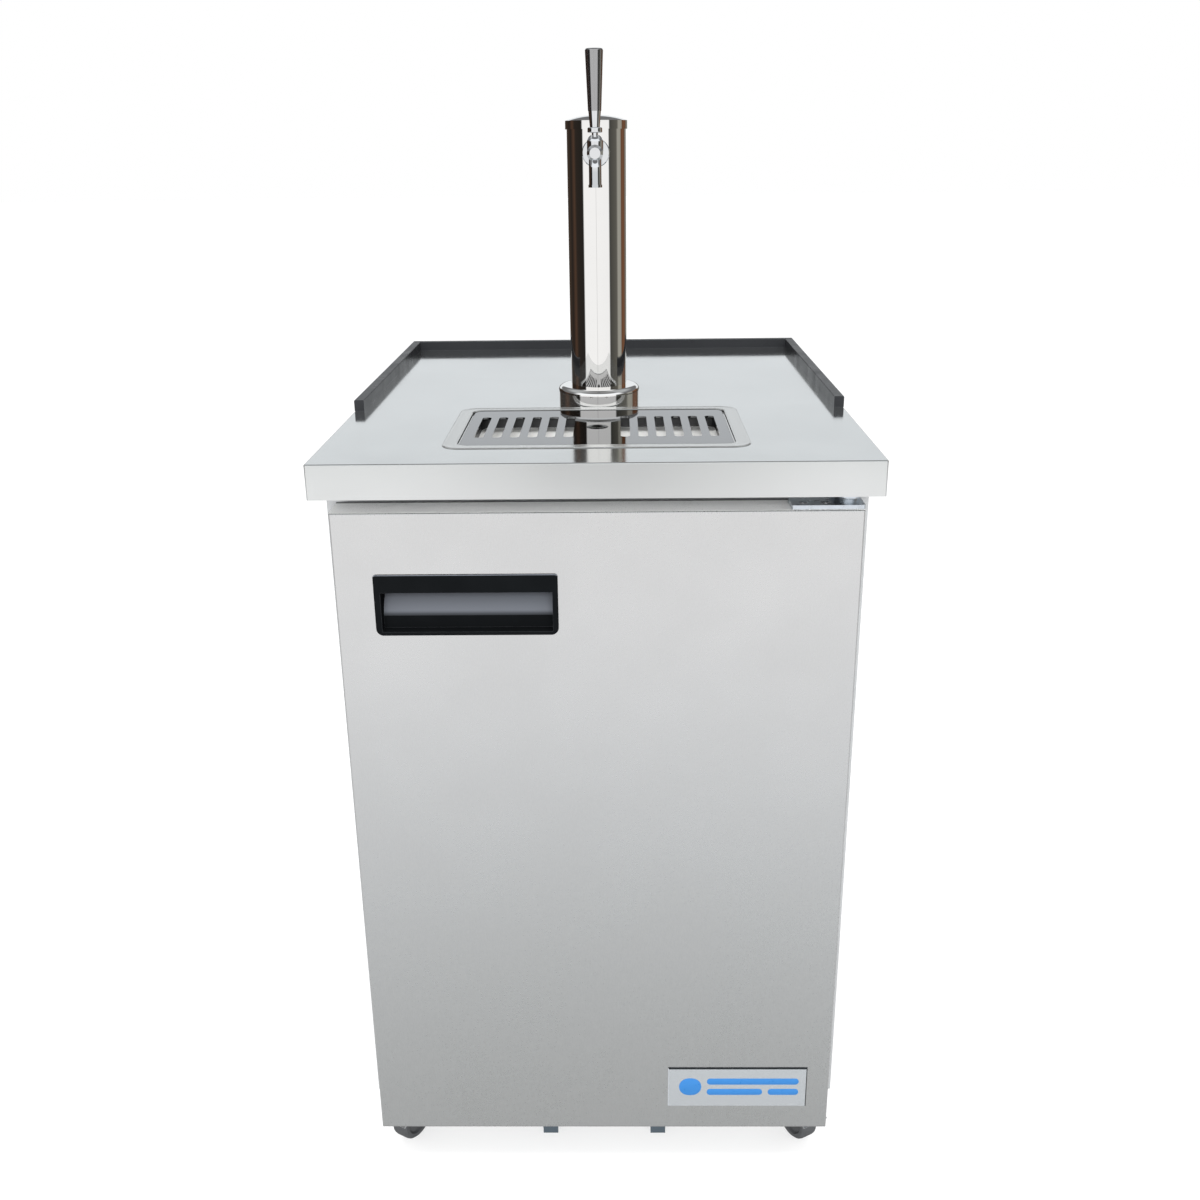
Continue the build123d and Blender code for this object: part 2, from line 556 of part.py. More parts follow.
def faucet_bonnet():
    """Domed nut that holds the lever's ball, slotted for the lever's swing."""
    dome = Pos(0, LEVER_Y, LEVER_Z) * Sphere(BONNET_RADIUS)
    dome &= block(both(20), (LEVER_Y - 20, LEVER_Y + 20), (LEVER_Z, LEVER_Z + 20))
    dome -= Pos(0, LEVER_Y, LEVER_Z) * Sphere(BALL_RADIUS + BALL_GAP)
    half, tall = BONNET_SLOT, 14.0
    swing = radians(LEVER_SWING)
    front_foot = (LEVER_Y - half * cos(swing), LEVER_Z - half * sin(swing))
    front_top = (front_foot[0] - tall * sin(swing), front_foot[1] + tall * cos(swing))
    slot = [(LEVER_Y + half, LEVER_Z), (LEVER_Y + half, LEVER_Z + tall),
            (front_top[0], LEVER_Z + tall), front_top, front_foot]
    return dome - side_profile(slot, both(half))


def faucet_lever():
    at = (0, LEVER_Y)
    ball = Pos(*at, LEVER_Z) * Sphere(BALL_RADIUS)
    neck = upright(3.4, at, (LEVER_Z, LEVER_Z + 12))
    collar = upright(8.2, at, (LEVER_Z + 10.3, LEVER_Z + 16))
    collar = fillet(collar.edges().filter_by(GeomType.CIRCLE), 1)
    stud = upright(3.9, at, (LEVER_Z + 15, LEVER_Z + 30))
    arm = upright(2.2, at, (TAP_Z, LEVER_Z))
    tip = Pos(*at, TAP_Z) * Sphere(3)
    return ball + neck + collar + stud + arm + tip


def handle_ferrule():
    bottom = LEVER_Z + 16
    outline = [(4, bottom), (5.5, bottom), (7, HANDLE_BOTTOM), (0, HANDLE_BOTTOM),
               (0, LEVER_Z + 31), (4, LEVER_Z + 31)]
    return turned(outline, (0, LEVER_Y))


def tap_handle():
    outline = [(0, HANDLE_BOTTOM), (7.4, HANDLE_BOTTOM), (10, HANDLE_TOP), (0, HANDLE_TOP)]
    handle = turned(outline, (0, LEVER_Y))
    return fillet(handle.edges().group_by(Axis.Z)[-1], 2)


def faucet_shaft():
    """Valve rod: a washer behind the seat, and a yoke round the lever's tip."""
    washer = along_barrel(5.5, BARREL_BACK - 5.7, BARREL_BACK - 3)
    stem = along_barrel(2.8, BARREL_BACK - 4, LEVER_Y + 6)
    yoke = along_barrel(5.6, LEVER_Y + 7.5, LEVER_Y - 7.5)
    yoke -= block(both(3.4), (LEVER_Y - 3.4, LEVER_Y + 3.4), (TAP_Z - 4, TAP_Z + 10))
    yoke -= block(both(3.4), (LEVER_Y - 5.8, LEVER_Y), (TAP_Z + 1.5, TAP_Z + 10))
    return washer + stem + yoke


# ----------------------------------------------------------------------- door
def pull_pocket():
    return block(POCKET_X, (DOOR_FRONT - 1, POCKET_BACK), POCKET_Z)


def door_skin():
    y = (DOOR_FRONT, DOOR_BACK)
    outer = block(both(DOOR_HALF_WIDTH), y, DOOR_Z)
    outer = fillet(outer.edges().group_by(Axis.Y)[0], 2.5)
    inner = block(both(DOOR_HALF_WIDTH - DOOR_SHEET), (y[0] + DOOR_SHEET, y[1] + 1),
                  (DOOR_Z[0] + DOOR_SHEET, DOOR_Z[1] - DOOR_SHEET))
    inner = fillet(inner.edges().group_by(Axis.Y)[0], 1.5)
    skin = outer - inner - pull_pocket()
    return skin - upright(BUSH_RADIUS + RUNNING_GAP, (HINGE_X, HINGE_Y), (DOOR_Z[0] - 1, DOOR_Z[0] + 2))


def door_foam():
    """Five blocks round the pull's pocket."""
    x = both(DOOR_HALF_WIDTH - DOOR_SHEET - 1)
    y = (DOOR_FRONT + DOOR_SHEET, DOOR_BACK - LINER)
    z = (DOOR_Z[0] + DOOR_SHEET, DOOR_Z[1] - DOOR_SHEET)
    below = block(x, y, (z[0], POCKET_Z[0]))
    below = chamfer(below.edges().group_by(Axis.Y)[0], 1.5)
    below -= upright(BUSH_RADIUS + RUNNING_GAP, (HINGE_X, HINGE_Y), (z[0] - 1, z[0] + BUSH_DEPTH))
    above = chamfer(block(x, y, (POCKET_Z[1], z[1])).edges().group_by(Axis.Y)[0], 1.5)
    left = block((x[0] + 1.5, POCKET_X[0]), y, POCKET_Z)
    right = block((POCKET_X[1], x[1] - 1.5), y, POCKET_Z)
    behind = block(POCKET_X, (POCKET_BACK, y[1]), POCKET_Z)
    return group(below, above, left, right, behind)


def door_liner():
    """Inner door sheet with a raised panel inside the gasket."""
    x = DOOR_HALF_WIDTH - DOOR_SHEET
    z = (DOOR_Z[0] + DOOR_SHEET, DOOR_Z[1] - DOOR_SHEET)
    sheet = block(both(x), (DOOR_BACK - LINER, DOOR_BACK), z)
    panel = block(both(INNER_HALF_WIDTH - 14), (DOOR_BACK - 0.5, DOOR_BACK + 9),
                  (INNER_FLOOR + 14, INNER_CEILING - 14))
    return sheet + chamfer(panel.edges().group_by(Axis.Y)[-1], 5)


def gasket_ring(spread, y):
    return block(both(INNER_HALF_WIDTH + spread), y, (INNER_FLOOR - spread, INNER_CEILING + spread))


def door_gasket():
    ring = gasket_ring(GASKET_OUT, GASKET_Y)
    ring = fillet(ring.edges().group_by(Axis.Y)[-1], 3)
    return ring - gasket_ring(GASKET_IN, (GASKET_Y[0] - 1, GASKET_Y[1] + 1))


def door_handle():
    """Moulded pull: a flange round a pocket that reaches up behind its top band."""
    flange = block(PULL_X, (DOOR_FRONT - PULL_PROUD, DOOR_FRONT), PULL_Z)
    flange = fillet(flange.edges().filter_by(Axis.Y).group_by(Axis.Z)[0], 8)
    flange = fillet(flange.edges().filter_by(Axis.Y).group_by(Axis.Z)[-1], 3.4)
    flange = fillet(flange.edges().group_by(Axis.Y)[0], 1.2)
    return flange + pull_pocket() - pull_hollow()


def pull_hollow():
    """Finger space: a low wall near the front, then a curved ramp back and up."""
    mouth = DOOR_FRONT - PULL_PROUD - 1
    low_wall, deep_wall = DOOR_FRONT + 12, POCKET_BACK - PULL_WALL
    ramp_foot, ramp_head = MOUTH_Z[0] + 14, MOUTH_Z[1] - 8
    band_back, ceiling = DOOR_FRONT + 1, POCKET_Z[1] - PULL_WALL
    bulge = ((low_wall + deep_wall) / 2 - 3, (ramp_foot + ramp_head) / 2 + 3)
    corners = [(deep_wall, ramp_head), (deep_wall, ceiling), (band_back, ceiling),
               (band_back, MOUTH_Z[1]), (mouth, MOUTH_Z[1]), (mouth, MOUTH_Z[0]),
               (low_wall, MOUTH_Z[0]), (low_wall, ramp_foot)]
    outline = Polyline([(0, y, z) for y, z in corners])
    outline += ThreePointArc((0, *corners[-1]), (0, *bulge), (0, *corners[0]))
    hollow = extrude(make_face(outline), POCKET_X[1] - POCKET_X[0] - 6, dir=(1, 0, 0))
    return Pos(POCKET_X[0] + 3, 0, 0) * hollow


def badge_plate():
    plate = block(BADGE_X, (DOOR_FRONT - BADGE_THICKNESS, DOOR_FRONT), BADGE_Z)
    return chamfer(plate.edges().group_by(Axis.Y)[0], 1.4)


def hinge_nose(z):
    """Level leg of a hinge bracket, rounded about the pin's axis."""
    radius = (BRACKET_X[1] - BRACKET_X[0]) / 2
    centre = sum(BRACKET_X) / 2
    leg = block(BRACKET_X, (HINGE_Y, FRONT_Y), z)
    return leg + upright(radius, (centre, HINGE_Y), z)


def bracket_upright(z):
    plate = block(BRACKET_X, (FRONT_Y - BRACKET_SHEET, FRONT_Y), z)
    for x, y, height in hinge_screw_points():
        plate -= rod(SCREW_RADIUS + RUNNING_GAP, (x, y - 1, height), (x, FRONT_Y + 1, height))
    return plate


def top_hinge_bracket():
    low, high = TOP_LEG_Z
    bracket = hinge_nose(TOP_LEG_Z) + bracket_upright((TOP_LEG_DROP, high))
    return bracket - upright(PIN_RADIUS + RUNNING_GAP, (HINGE_X, HINGE_Y), (low - 1, high + 1))


def bottom_hinge_bracket():
    low = BOTTOM_LEG_Z[0]
    pin = upright(PIN_RADIUS, (HINGE_X, HINGE_Y), (low, 82))
    return hinge_nose(BOTTOM_LEG_Z) + bracket_upright((low, BOTTOM_LEG_RISE)) + pin


def door_hinge_plate():
    """Plate on the door's top edge, with the upper hinge pin standing on it."""
    x, y, z = HINGE_PLATE_X, HINGE_PLATE_Y, HINGE_PLATE_Z
    plate = block(x, y, z)
    plate = fillet(plate.edges().filter_by(Axis.Z), 2)
    plate += block((x[0] + 4, x[1] - 4), (y[0] + 4, y[1] - 4), (DOOR_Z[1], z[0]))
    countersink = [(0, z[0] - 2), (2.6, z[0] - 2), (2.6, z[1] - 3.1), (5.7, z[1]), (0, z[1])]
    for at in HINGE_PLATE_SCREWS:
        plate -= turned(countersink, at)
    plate += upright(9, (HINGE_X, HINGE_Y), (z[1], z[1] + 3))
    return plate + upright(PIN_RADIUS, (HINGE_X, HINGE_Y), (z[1], TOP_LEG_Z[1] + 2))


def door_hinge_screws():
    bottom, top = DOOR_Z[1], HINGE_PLATE_Z[1]
    outline = [(0, bottom), (2.5, bottom), (2.5, top - 2.9), (4.9, top - 0.5), (0, top - 0.5)]
    cut_z = (top - 1.6, top + 1)
    cross = block(both(0.6), both(3), cut_z) + block(both(3), both(0.6), cut_z)
    return group(*[turned(outline, at) - Pos(*at, 0) * cross for at in HINGE_PLATE_SCREWS])


def door_bush():
    """Nylon bush in the door's lower edge, closed above the pin."""
    at = (HINGE_X, HINGE_Y)
    z = (BOTTOM_LEG_Z[1] + 0.3, DOOR_Z[0] + BUSH_DEPTH)
    bush = upright(BUSH_RADIUS + 2, at, (z[0], DOOR_Z[0])) + upright(BUSH_RADIUS, at, (DOOR_Z[0], z[1]))
    return bush - upright(PIN_RADIUS + RUNNING_GAP, at, (z[0] - 1, z[1] - 1.5))


# -------------------------------------------------------------------- castors
def castor_place(name):
    x, y, angle, _ = CASTORS[name]
    return Pos(x, y, 0) * Rot(0, 0, angle)


def castor_plate(x, y):
    """Top plate, dished race and riveted kingpin of one castor."""
    top = CASTOR_HEIGHT
    under = top - CASTOR_PLATE
    plate = slab(both(33), both(26), (under, top), 6)
    for bolt in CASTOR_BOLTS:
        plate -= upright(BOLT_RADIUS + RUNNING_GAP, bolt, (under - 2, top + 1))
    race_foot, rivet_foot, rivet_top = CROWN_Z[1] + 0.3, CROWN_Z[0] - 3, CROWN_Z[0] - 0.3
    race = turned([(0, under), (16, under), (19, race_foot + 2), (18, race_foot), (0, race_foot)])
    kingpin = upright(KINGPIN_RADIUS, (0, 0), (rivet_foot, race_foot))
    rivet = upright(KINGPIN_RADIUS + 3, (0, 0), (rivet_foot, rivet_top))
    return Pos(x, y, 0) * (plate + race + kingpin + rivet)


def castor_plates():
    return group(*[castor_plate(x, y) for x, y, _, _ in CASTORS.values()])


def fork_leg(inner):
    """One cheek of the fork; inner is its face nearest the wheel, signed."""
    outer = inner + (FORK_SHEET if inner > 0 else -FORK_SHEET)
    low, high = sorted((inner, outer))
    points = [(-16, CROWN_Z[1]), (26, CROWN_Z[1]), (TRAIL + 8, WHEEL_RADIUS),
              (TRAIL - 7, WHEEL_RADIUS - 3)]
    face = make_face(Polyline([(x, low, z) for x, z in points], close=True))
    cheek = extrude(face, high - low, dir=(0, 1, 0))
    return cheek + rod(8, (TRAIL, low, WHEEL_RADIUS), (TRAIL, high, WHEEL_RADIUS))


def castor_fork(name):
    inner = WHEEL_WIDTH / 2 + FORK_GAP
    outer = inner + FORK_SHEET
    crown = slab((-16, 26), both(outer), CROWN_Z, 4)
    axle = rod(AXLE_RADIUS, (TRAIL, -outer - 3, WHEEL_RADIUS), (TRAIL, outer + 3, WHEEL_RADIUS))
    fork = crown + fork_leg(inner) + fork_leg(-inner) + axle
    for side in (-1, 1):
        fork += rod(6.5, (TRAIL, side * outer, WHEEL_RADIUS), (TRAIL, side * (outer + 3), WHEEL_RADIUS))
    fork -= upright(KINGPIN_RADIUS + RUNNING_GAP, (0, 0), (CROWN_Z[0] - 1, CROWN_Z[1] + 1))
    if CASTORS[name][3]:
        pivot_x, pivot_z = PEDAL_PIVOT
        for side in (-1, 1):
            fork += rod(SCREW_RADIUS, (pivot_x, side * (outer - 1), pivot_z),
                        (pivot_x, side * (outer + 3.2), pivot_z))
    return castor_place(name) * fork


def castor_wheel(name):
    half = WHEEL_WIDTH / 2
    radius = WHEEL_RADIUS
    outline = [(AXLE_RADIUS + RUNNING_GAP, -half - 1), (10, -half - 1), (10, -half + 3),
               (19, -half + 3), (21, -half), (radius - 3, -half), (radius - 0.6, -half + 2.5),
               (radius, -half + 5), (radius, half - 5), (radius - 0.6, half - 2.5), (radius - 3, half),
               (21, half), (19, half - 3), (10, half - 3), (10, half + 1),
               (AXLE_RADIUS + RUNNING_GAP, half + 1)]
    wheel = Rot(90, 0, 0) * turned(outline)
    return castor_place(name) * Pos(TRAIL, 0, WHEEL_RADIUS) * wheel


def brake_pedal(name):
    """Foot lever over the wheel, with two ears outside the fork's cheeks."""
    gap = WHEEL_WIDTH / 2 + FORK_GAP + FORK_SHEET + PEDAL_GAP
    outer = gap + PEDAL_SHEET
    ear_points = [(14, 48), (14, 56), (48, 54.5), (68, 45), (66.5, 42.5), (47, 51.5), (26, 48)]
    plate_points = [(48, 54.5), (68, 45), (66.5, 42.5), (46.8, 52.3)]

    def cut(points, low, high):
        face = make_face(Polyline([(x, low, z) for x, z in points], close=True))
        return extrude(face, high - low, dir=(0, 1, 0))

    pedal = cut(ear_points, gap, outer) + cut(ear_points, -outer, -gap)
    pedal += cut(plate_points, -outer, outer)
    pivot_x, pivot_z = PEDAL_PIVOT
    pedal -= rod(SCREW_RADIUS + RUNNING_GAP, (pivot_x, -outer - 1, pivot_z), (pivot_x, outer + 1, pivot_z))
    return castor_place(name) * pedal


# ------------------------------------------------------------- cooling system
def compressor():
    """Hermetic shell on four rubber-footed legs, with its terminal box."""
    bottom, top = COMPRESSOR_Z
    shell = upright(COMPRESSOR_RADIUS, COMPRESSOR_AT, COMPRESSOR_Z)
    shell = fillet(shell.edges().group_by(Axis.Z)[-1], 45)
    shell = fillet(shell.edges().group_by(Axis.Z)[0], 20)
    x, y = COMPRESSOR_AT
    seam = upright(COMPRESSOR_RADIUS + 3, COMPRESSOR_AT, (bottom + 62, bottom + 67))
    deck = slab((x - 82, x + 82), (y - 60, y + 60), (bottom - 3, bottom + 1), 12)
    body = shell + seam + deck + block((x - 24, x + 24), (y - 88, y - 55), (bottom + 15, bottom + 58))
    for side_x in (-70, 70):
        for side_y in (-48, 48):
            body += upright(9, (x + side_x, y + side_y), (CASTOR_HEIGHT + BASE_SHEET, bottom - 2))
    return body


def finned_coil(x, y, z, fins):
    """Coil block: a core with evenly spaced fins, and return bends at both ends."""
    pitch = (x[1] - x[0]) / fins
    core_y = ((y[0] + y[1]) / 2 - 5, (y[0] + y[1]) / 2 + 5)
    coil = block(x, core_y, (z[0] + 4, z[1] - 4))
    for index in range(fins + 1):
        at = x[0] + pitch * index
        coil += block((at - 0.8, at + 0.8), y, z)
    rows = int((z[1] - z[0]) // 30)
    for row in range(rows):
        height = z[0] + 20 + 30 * row
        for end in x:
            coil += rod(4, (end - 9, core_y[0] + 5, height), (end + 9, core_y[0] + 5, height))
    return coil


def condenser_coil():
    return finned_coil((-235, -75), (322, 350), (96, 286), 16)


def evaporator_coil():
    return finned_coil((-205, 10), (298, 324), (645, 825), 18)


def fan_motors():
    """Condenser fan motor on its pedestal, and the evaporator fan motor."""
    x, z = CONDENSER_FAN_AT
    deck = CASTOR_HEIGHT + BASE_SHEET
    motor = rod(27, (x, 250, z), (x, 290, z)) + rod(3, (x, 289, z), (x, 312, z))
    pedestal = block((x - 12, x + 12), (262, 282), (deck, z - 20))
    foot = block((x - 30, x + 30), (255, 290), (deck, deck + 3))
    small_x, small_z = EVAPORATOR_FAN_AT
    small = rod(20, (small_x, 312, small_z), (small_x, INNER_BACK, small_z))
    small += rod(2.5, (small_x, 300, small_z), (small_x, 313, small_z))
    return group(motor + pedestal + foot, small)


def fan_blade(at, y, radius, shaft, blades):
    """Hub on the motor's shaft, with pitched blades; the fan blows along Y."""
    x, z = at
    hub_y = (y[0] + 1, y[1] - 1)
    hub = rod(13, (0, hub_y[0], 0), (0, hub_y[1], 0))
    length = radius - 10
    blade = Pos(0, (y[0] + y[1]) / 2, 10 + length / 2) * Rot(0, 0, 24) * Box(length * 0.55, 1.6, length)
    for index in range(blades):
        hub += Rot(0, 360 * index / blades, 0) * blade
    hub -= rod(shaft + RUNNING_GAP, (0, hub_y[0] + 2, 0), (0, hub_y[1] + 20, 0))
    hub -= rod(shaft + RUNNING_GAP, (0, hub_y[0] - 1, 0), (0, hub_y[0] + 3, 0))
    return Pos(x, 0, z) * hub


def condenser_fan_blade():
    return fan_blade(CONDENSER_FAN_AT, (297, 312), CONDENSER_FAN_RADIUS, 3, 5)


def evaporator_fan_blade():
    return fan_blade(EVAPORATOR_FAN_AT, (294, 308), EVAPORATOR_FAN_RADIUS, 2.5, 5)


def evaporator_cover():
    """Sheet housing over coil and fan, open to the back wall."""
    sheet = 1.2
    cover = block(COVER_X, COVER_Y, COVER_Z)
    cover = fillet(cover.edges().group_by(Axis.Y)[0], 4)
    cover -= block((COVER_X[0] + sheet, COVER_X[1] - sheet), (COVER_Y[0] + sheet, COVER_Y[1] + 1),
                   (COVER_Z[0] + sheet, COVER_Z[1] - sheet))
    x, z = EVAPORATOR_FAN_AT
    for ring in (18, 32, 46):
        for index in range(4):
            cutter = Cylinder(ring + 4, 20, arc_size=74) - Cylinder(ring - 4, 20)
            cover -= Pos(x, COVER_Y[0], z) * Rot(90, 0, 0) * Rot(0, 0, 90 * index + 8) * cutter
    for row in range(7):
        cover -= block((-150, -10), (COVER_Y[0] - 5, COVER_Y[0] + 5), (655 + 18 * row, 662 + 18 * row))
    cover -= upright(PIPE_RADIUS + 1, SUCTION_AT, (COVER_Z[0] - 5, COVER_Z[0] + 5))
    for x_screw in (-20, 20):
        cover -= block((KNOB_X + x_screw - 2, KNOB_X + x_screw + 2), (COVER_Y[0] - 5, COVER_Y[0] + 5),
                       (KNOB_Z - 2, KNOB_Z + 2))
    return cover


def refrigerant_lines():
    x, y = COMPRESSOR_AT
    left, right = x - COMPRESSOR_RADIUS, x + COMPRESSOR_RADIUS
    discharge = pipe([(left + 2, y, 145), (left - 32, y, 145), (left - 32, y, 305), (-90, y, 305),
                      (-90, 336, 305), (-90, 336, 286)], 8, PIPE_RADIUS)
    suction = pipe([(right - 2, y, 145), (SUCTION_AT[0], y, 145), (SUCTION_AT[0], SUCTION_AT[1], 145),
                    (*SUCTION_AT, 640), (19, SUCTION_AT[1], 640)], 8, PIPE_RADIUS)
    return group(discharge - compressor(), suction - compressor())


def thermostat_housing():
    box = block((KNOB_X - 32, KNOB_X + 32), (COVER_Y[0] - 12, COVER_Y[0]), (KNOB_Z - 26, KNOB_Z + 26))
    box = fillet(box.edges().group_by(Axis.Y)[0], 3)
    return box - rod(3 + RUNNING_GAP, (KNOB_X, COVER_Y[0] - 13, KNOB_Z), (KNOB_X, COVER_Y[0] - 3, KNOB_Z))


def thermostat_knob():
    face = COVER_Y[0] - 12.3
    front = face - 13
    knob = rod(KNOB_RADIUS, (KNOB_X, front, KNOB_Z), (KNOB_X, face, KNOB_Z))
    knob = fillet(knob.edges().group_by(Axis.Y)[0], 2)
    knob -= block((KNOB_X - 1, KNOB_X + 1), (front - 1, front + 1), (KNOB_Z + 3, KNOB_Z + KNOB_RADIUS + 1))
    flute_x = KNOB_RADIUS + 0.4
    flute = rod(1.2, (flute_x, front - 1, 0), (flute_x, face - 2, 0))
    for index in range(12):
        knob -= Pos(KNOB_X, 0, KNOB_Z) * Rot(0, 30 * index + 15, 0) * flute
    return knob + rod(3, (KNOB_X, face - 1, KNOB_Z), (KNOB_X, COVER_Y[0] - 4, KNOB_Z))


# --------------------------------------------------------------------- output
PIECES = [
    base_pan, outer_panels, front_frame, cabinet_foam, inner_liner, rear_louvre_panel,
    cabinet_screws, cord_gland, anti_tip_brackets, worktop, worktop_rails, drip_tray, drip_grille,
    tower_flange, tower_screws, tower_column, tower_cap, tower_insulation, beer_line, keg_line_nut,
    faucet_shank, faucet_nuts, faucet_body, faucet_bonnet, faucet_lever, handle_ferrule, tap_handle,
    faucet_shaft, door_skin, door_foam, door_liner, door_gasket, door_handle, badge_plate,
    top_hinge_bracket, bottom_hinge_bracket, door_hinge_plate, door_hinge_screws, door_bush,
    castor_plates, compressor, condenser_coil, evaporator_coil, fan_motors, condenser_fan_blade,
    evaporator_fan_blade, evaporator_cover, refrigerant_lines, thermostat_housing, thermostat_knob,
]

os.makedirs("parts", exist_ok=True)
for piece in PIECES:
    export_step(piece(), f"parts/{piece.__name__}.step")
for castor, (_, _, _, braked) in CASTORS.items():
    export_step(castor_fork(castor), f"parts/castor_fork_{castor}.step")
    export_step(castor_wheel(castor), f"parts/castor_wheel_{castor}.step")
    if braked:
        export_step(brake_pedal(castor), f"parts/brake_pedal_{castor}.step")
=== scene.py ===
"""Looks of the single-tap draught beer cooler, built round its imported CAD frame.

Metres, in the frame's own axes: +Z up, and the door faces -Y.
"""

import json
from math import cos, pi, radians, sin

import bmesh
import bpy
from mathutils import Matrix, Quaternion, Vector


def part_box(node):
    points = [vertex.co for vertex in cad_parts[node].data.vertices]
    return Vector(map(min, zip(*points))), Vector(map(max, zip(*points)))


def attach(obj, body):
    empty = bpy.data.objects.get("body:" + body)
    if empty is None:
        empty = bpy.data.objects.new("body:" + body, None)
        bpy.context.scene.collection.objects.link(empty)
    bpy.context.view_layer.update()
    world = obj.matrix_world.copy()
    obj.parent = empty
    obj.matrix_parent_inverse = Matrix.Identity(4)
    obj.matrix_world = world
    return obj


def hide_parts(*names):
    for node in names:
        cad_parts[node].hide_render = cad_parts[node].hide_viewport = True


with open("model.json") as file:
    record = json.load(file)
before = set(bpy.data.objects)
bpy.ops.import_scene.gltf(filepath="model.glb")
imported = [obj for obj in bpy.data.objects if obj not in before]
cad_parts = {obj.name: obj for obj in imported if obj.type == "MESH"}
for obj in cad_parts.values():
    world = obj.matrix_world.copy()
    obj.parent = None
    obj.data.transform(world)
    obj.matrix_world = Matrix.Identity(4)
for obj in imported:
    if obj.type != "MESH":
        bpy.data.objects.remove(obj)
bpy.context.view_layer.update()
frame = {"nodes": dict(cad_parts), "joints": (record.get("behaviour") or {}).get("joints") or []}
scene = bpy.context.scene
MM = 0.001


# ------------------------------------------------------------------ node graphs
class Graph:
    """Short calls that add nodes to one node tree."""

    def __init__(self, tree):
        self.nodes = tree.nodes
        self.links = tree.links

    def put(self, socket, value):
        """Links an output to a socket, or sets the socket's own value."""
        if isinstance(value, bpy.types.NodeSocket):
            self.links.new(value, socket)
        elif isinstance(value, (tuple, list)) and socket.type == "RGBA":
            socket.default_value = (*value, 1.0)
        else:
            socket.default_value = value

    def math(self, operation, first, second=0.0):
        """One Math node; the second input is ignored by functions of one value."""
        node = self.nodes.new("ShaderNodeMath")
        node.operation = operation
        self.put(node.inputs[0], first)
        self.put(node.inputs[1], second)
        return node.outputs[0]

    def span(self, value, source, target, smooth=False):
        """Maps a value from the source range to the target range, and clamps it."""
        node = self.nodes.new("ShaderNodeMapRange")
        node.interpolation_type = "SMOOTHSTEP" if smooth else "LINEAR"
        self.put(node.inputs["Value"], value)
        for name, number in zip(("From Min", "From Max", "To Min", "To Max"), (*source, *target)):
            node.inputs[name].default_value = number
        return node.outputs["Result"]

    def mix(self, factor, first, second):
        """The first colour at factor 0, the second at factor 1."""
        node = self.nodes.new("ShaderNodeMix")
        node.data_type = "RGBA"
        self.put(node.inputs["Factor"], factor)
        colors = [socket for socket in node.inputs if socket.type == "RGBA"]
        self.put(colors[0], first)
        self.put(colors[1], second)
        return next(socket for socket in node.outputs if socket.type == "RGBA")

    def ramp(self, value, stops):
        """Colour ramp from (position, colour) stops."""
        node = self.nodes.new("ShaderNodeValToRGB")
        self.put(node.inputs["Fac"], value)
        elements = node.color_ramp.elements
        elements[0].position = stops[0][0]
        elements[1].position = stops[-1][0]
        for position, _ in stops[1:-1]:
            elements.new(position)
        for element, (_, color) in zip(elements, stops):
            element.color = (*color, 1.0)
        return node.outputs["Color"]

    def separate(self, vector):
        """The vector's x, y and z."""
        node = self.nodes.new("ShaderNodeSeparateXYZ")
        self.put(node.inputs[0], vector)
        return node.outputs


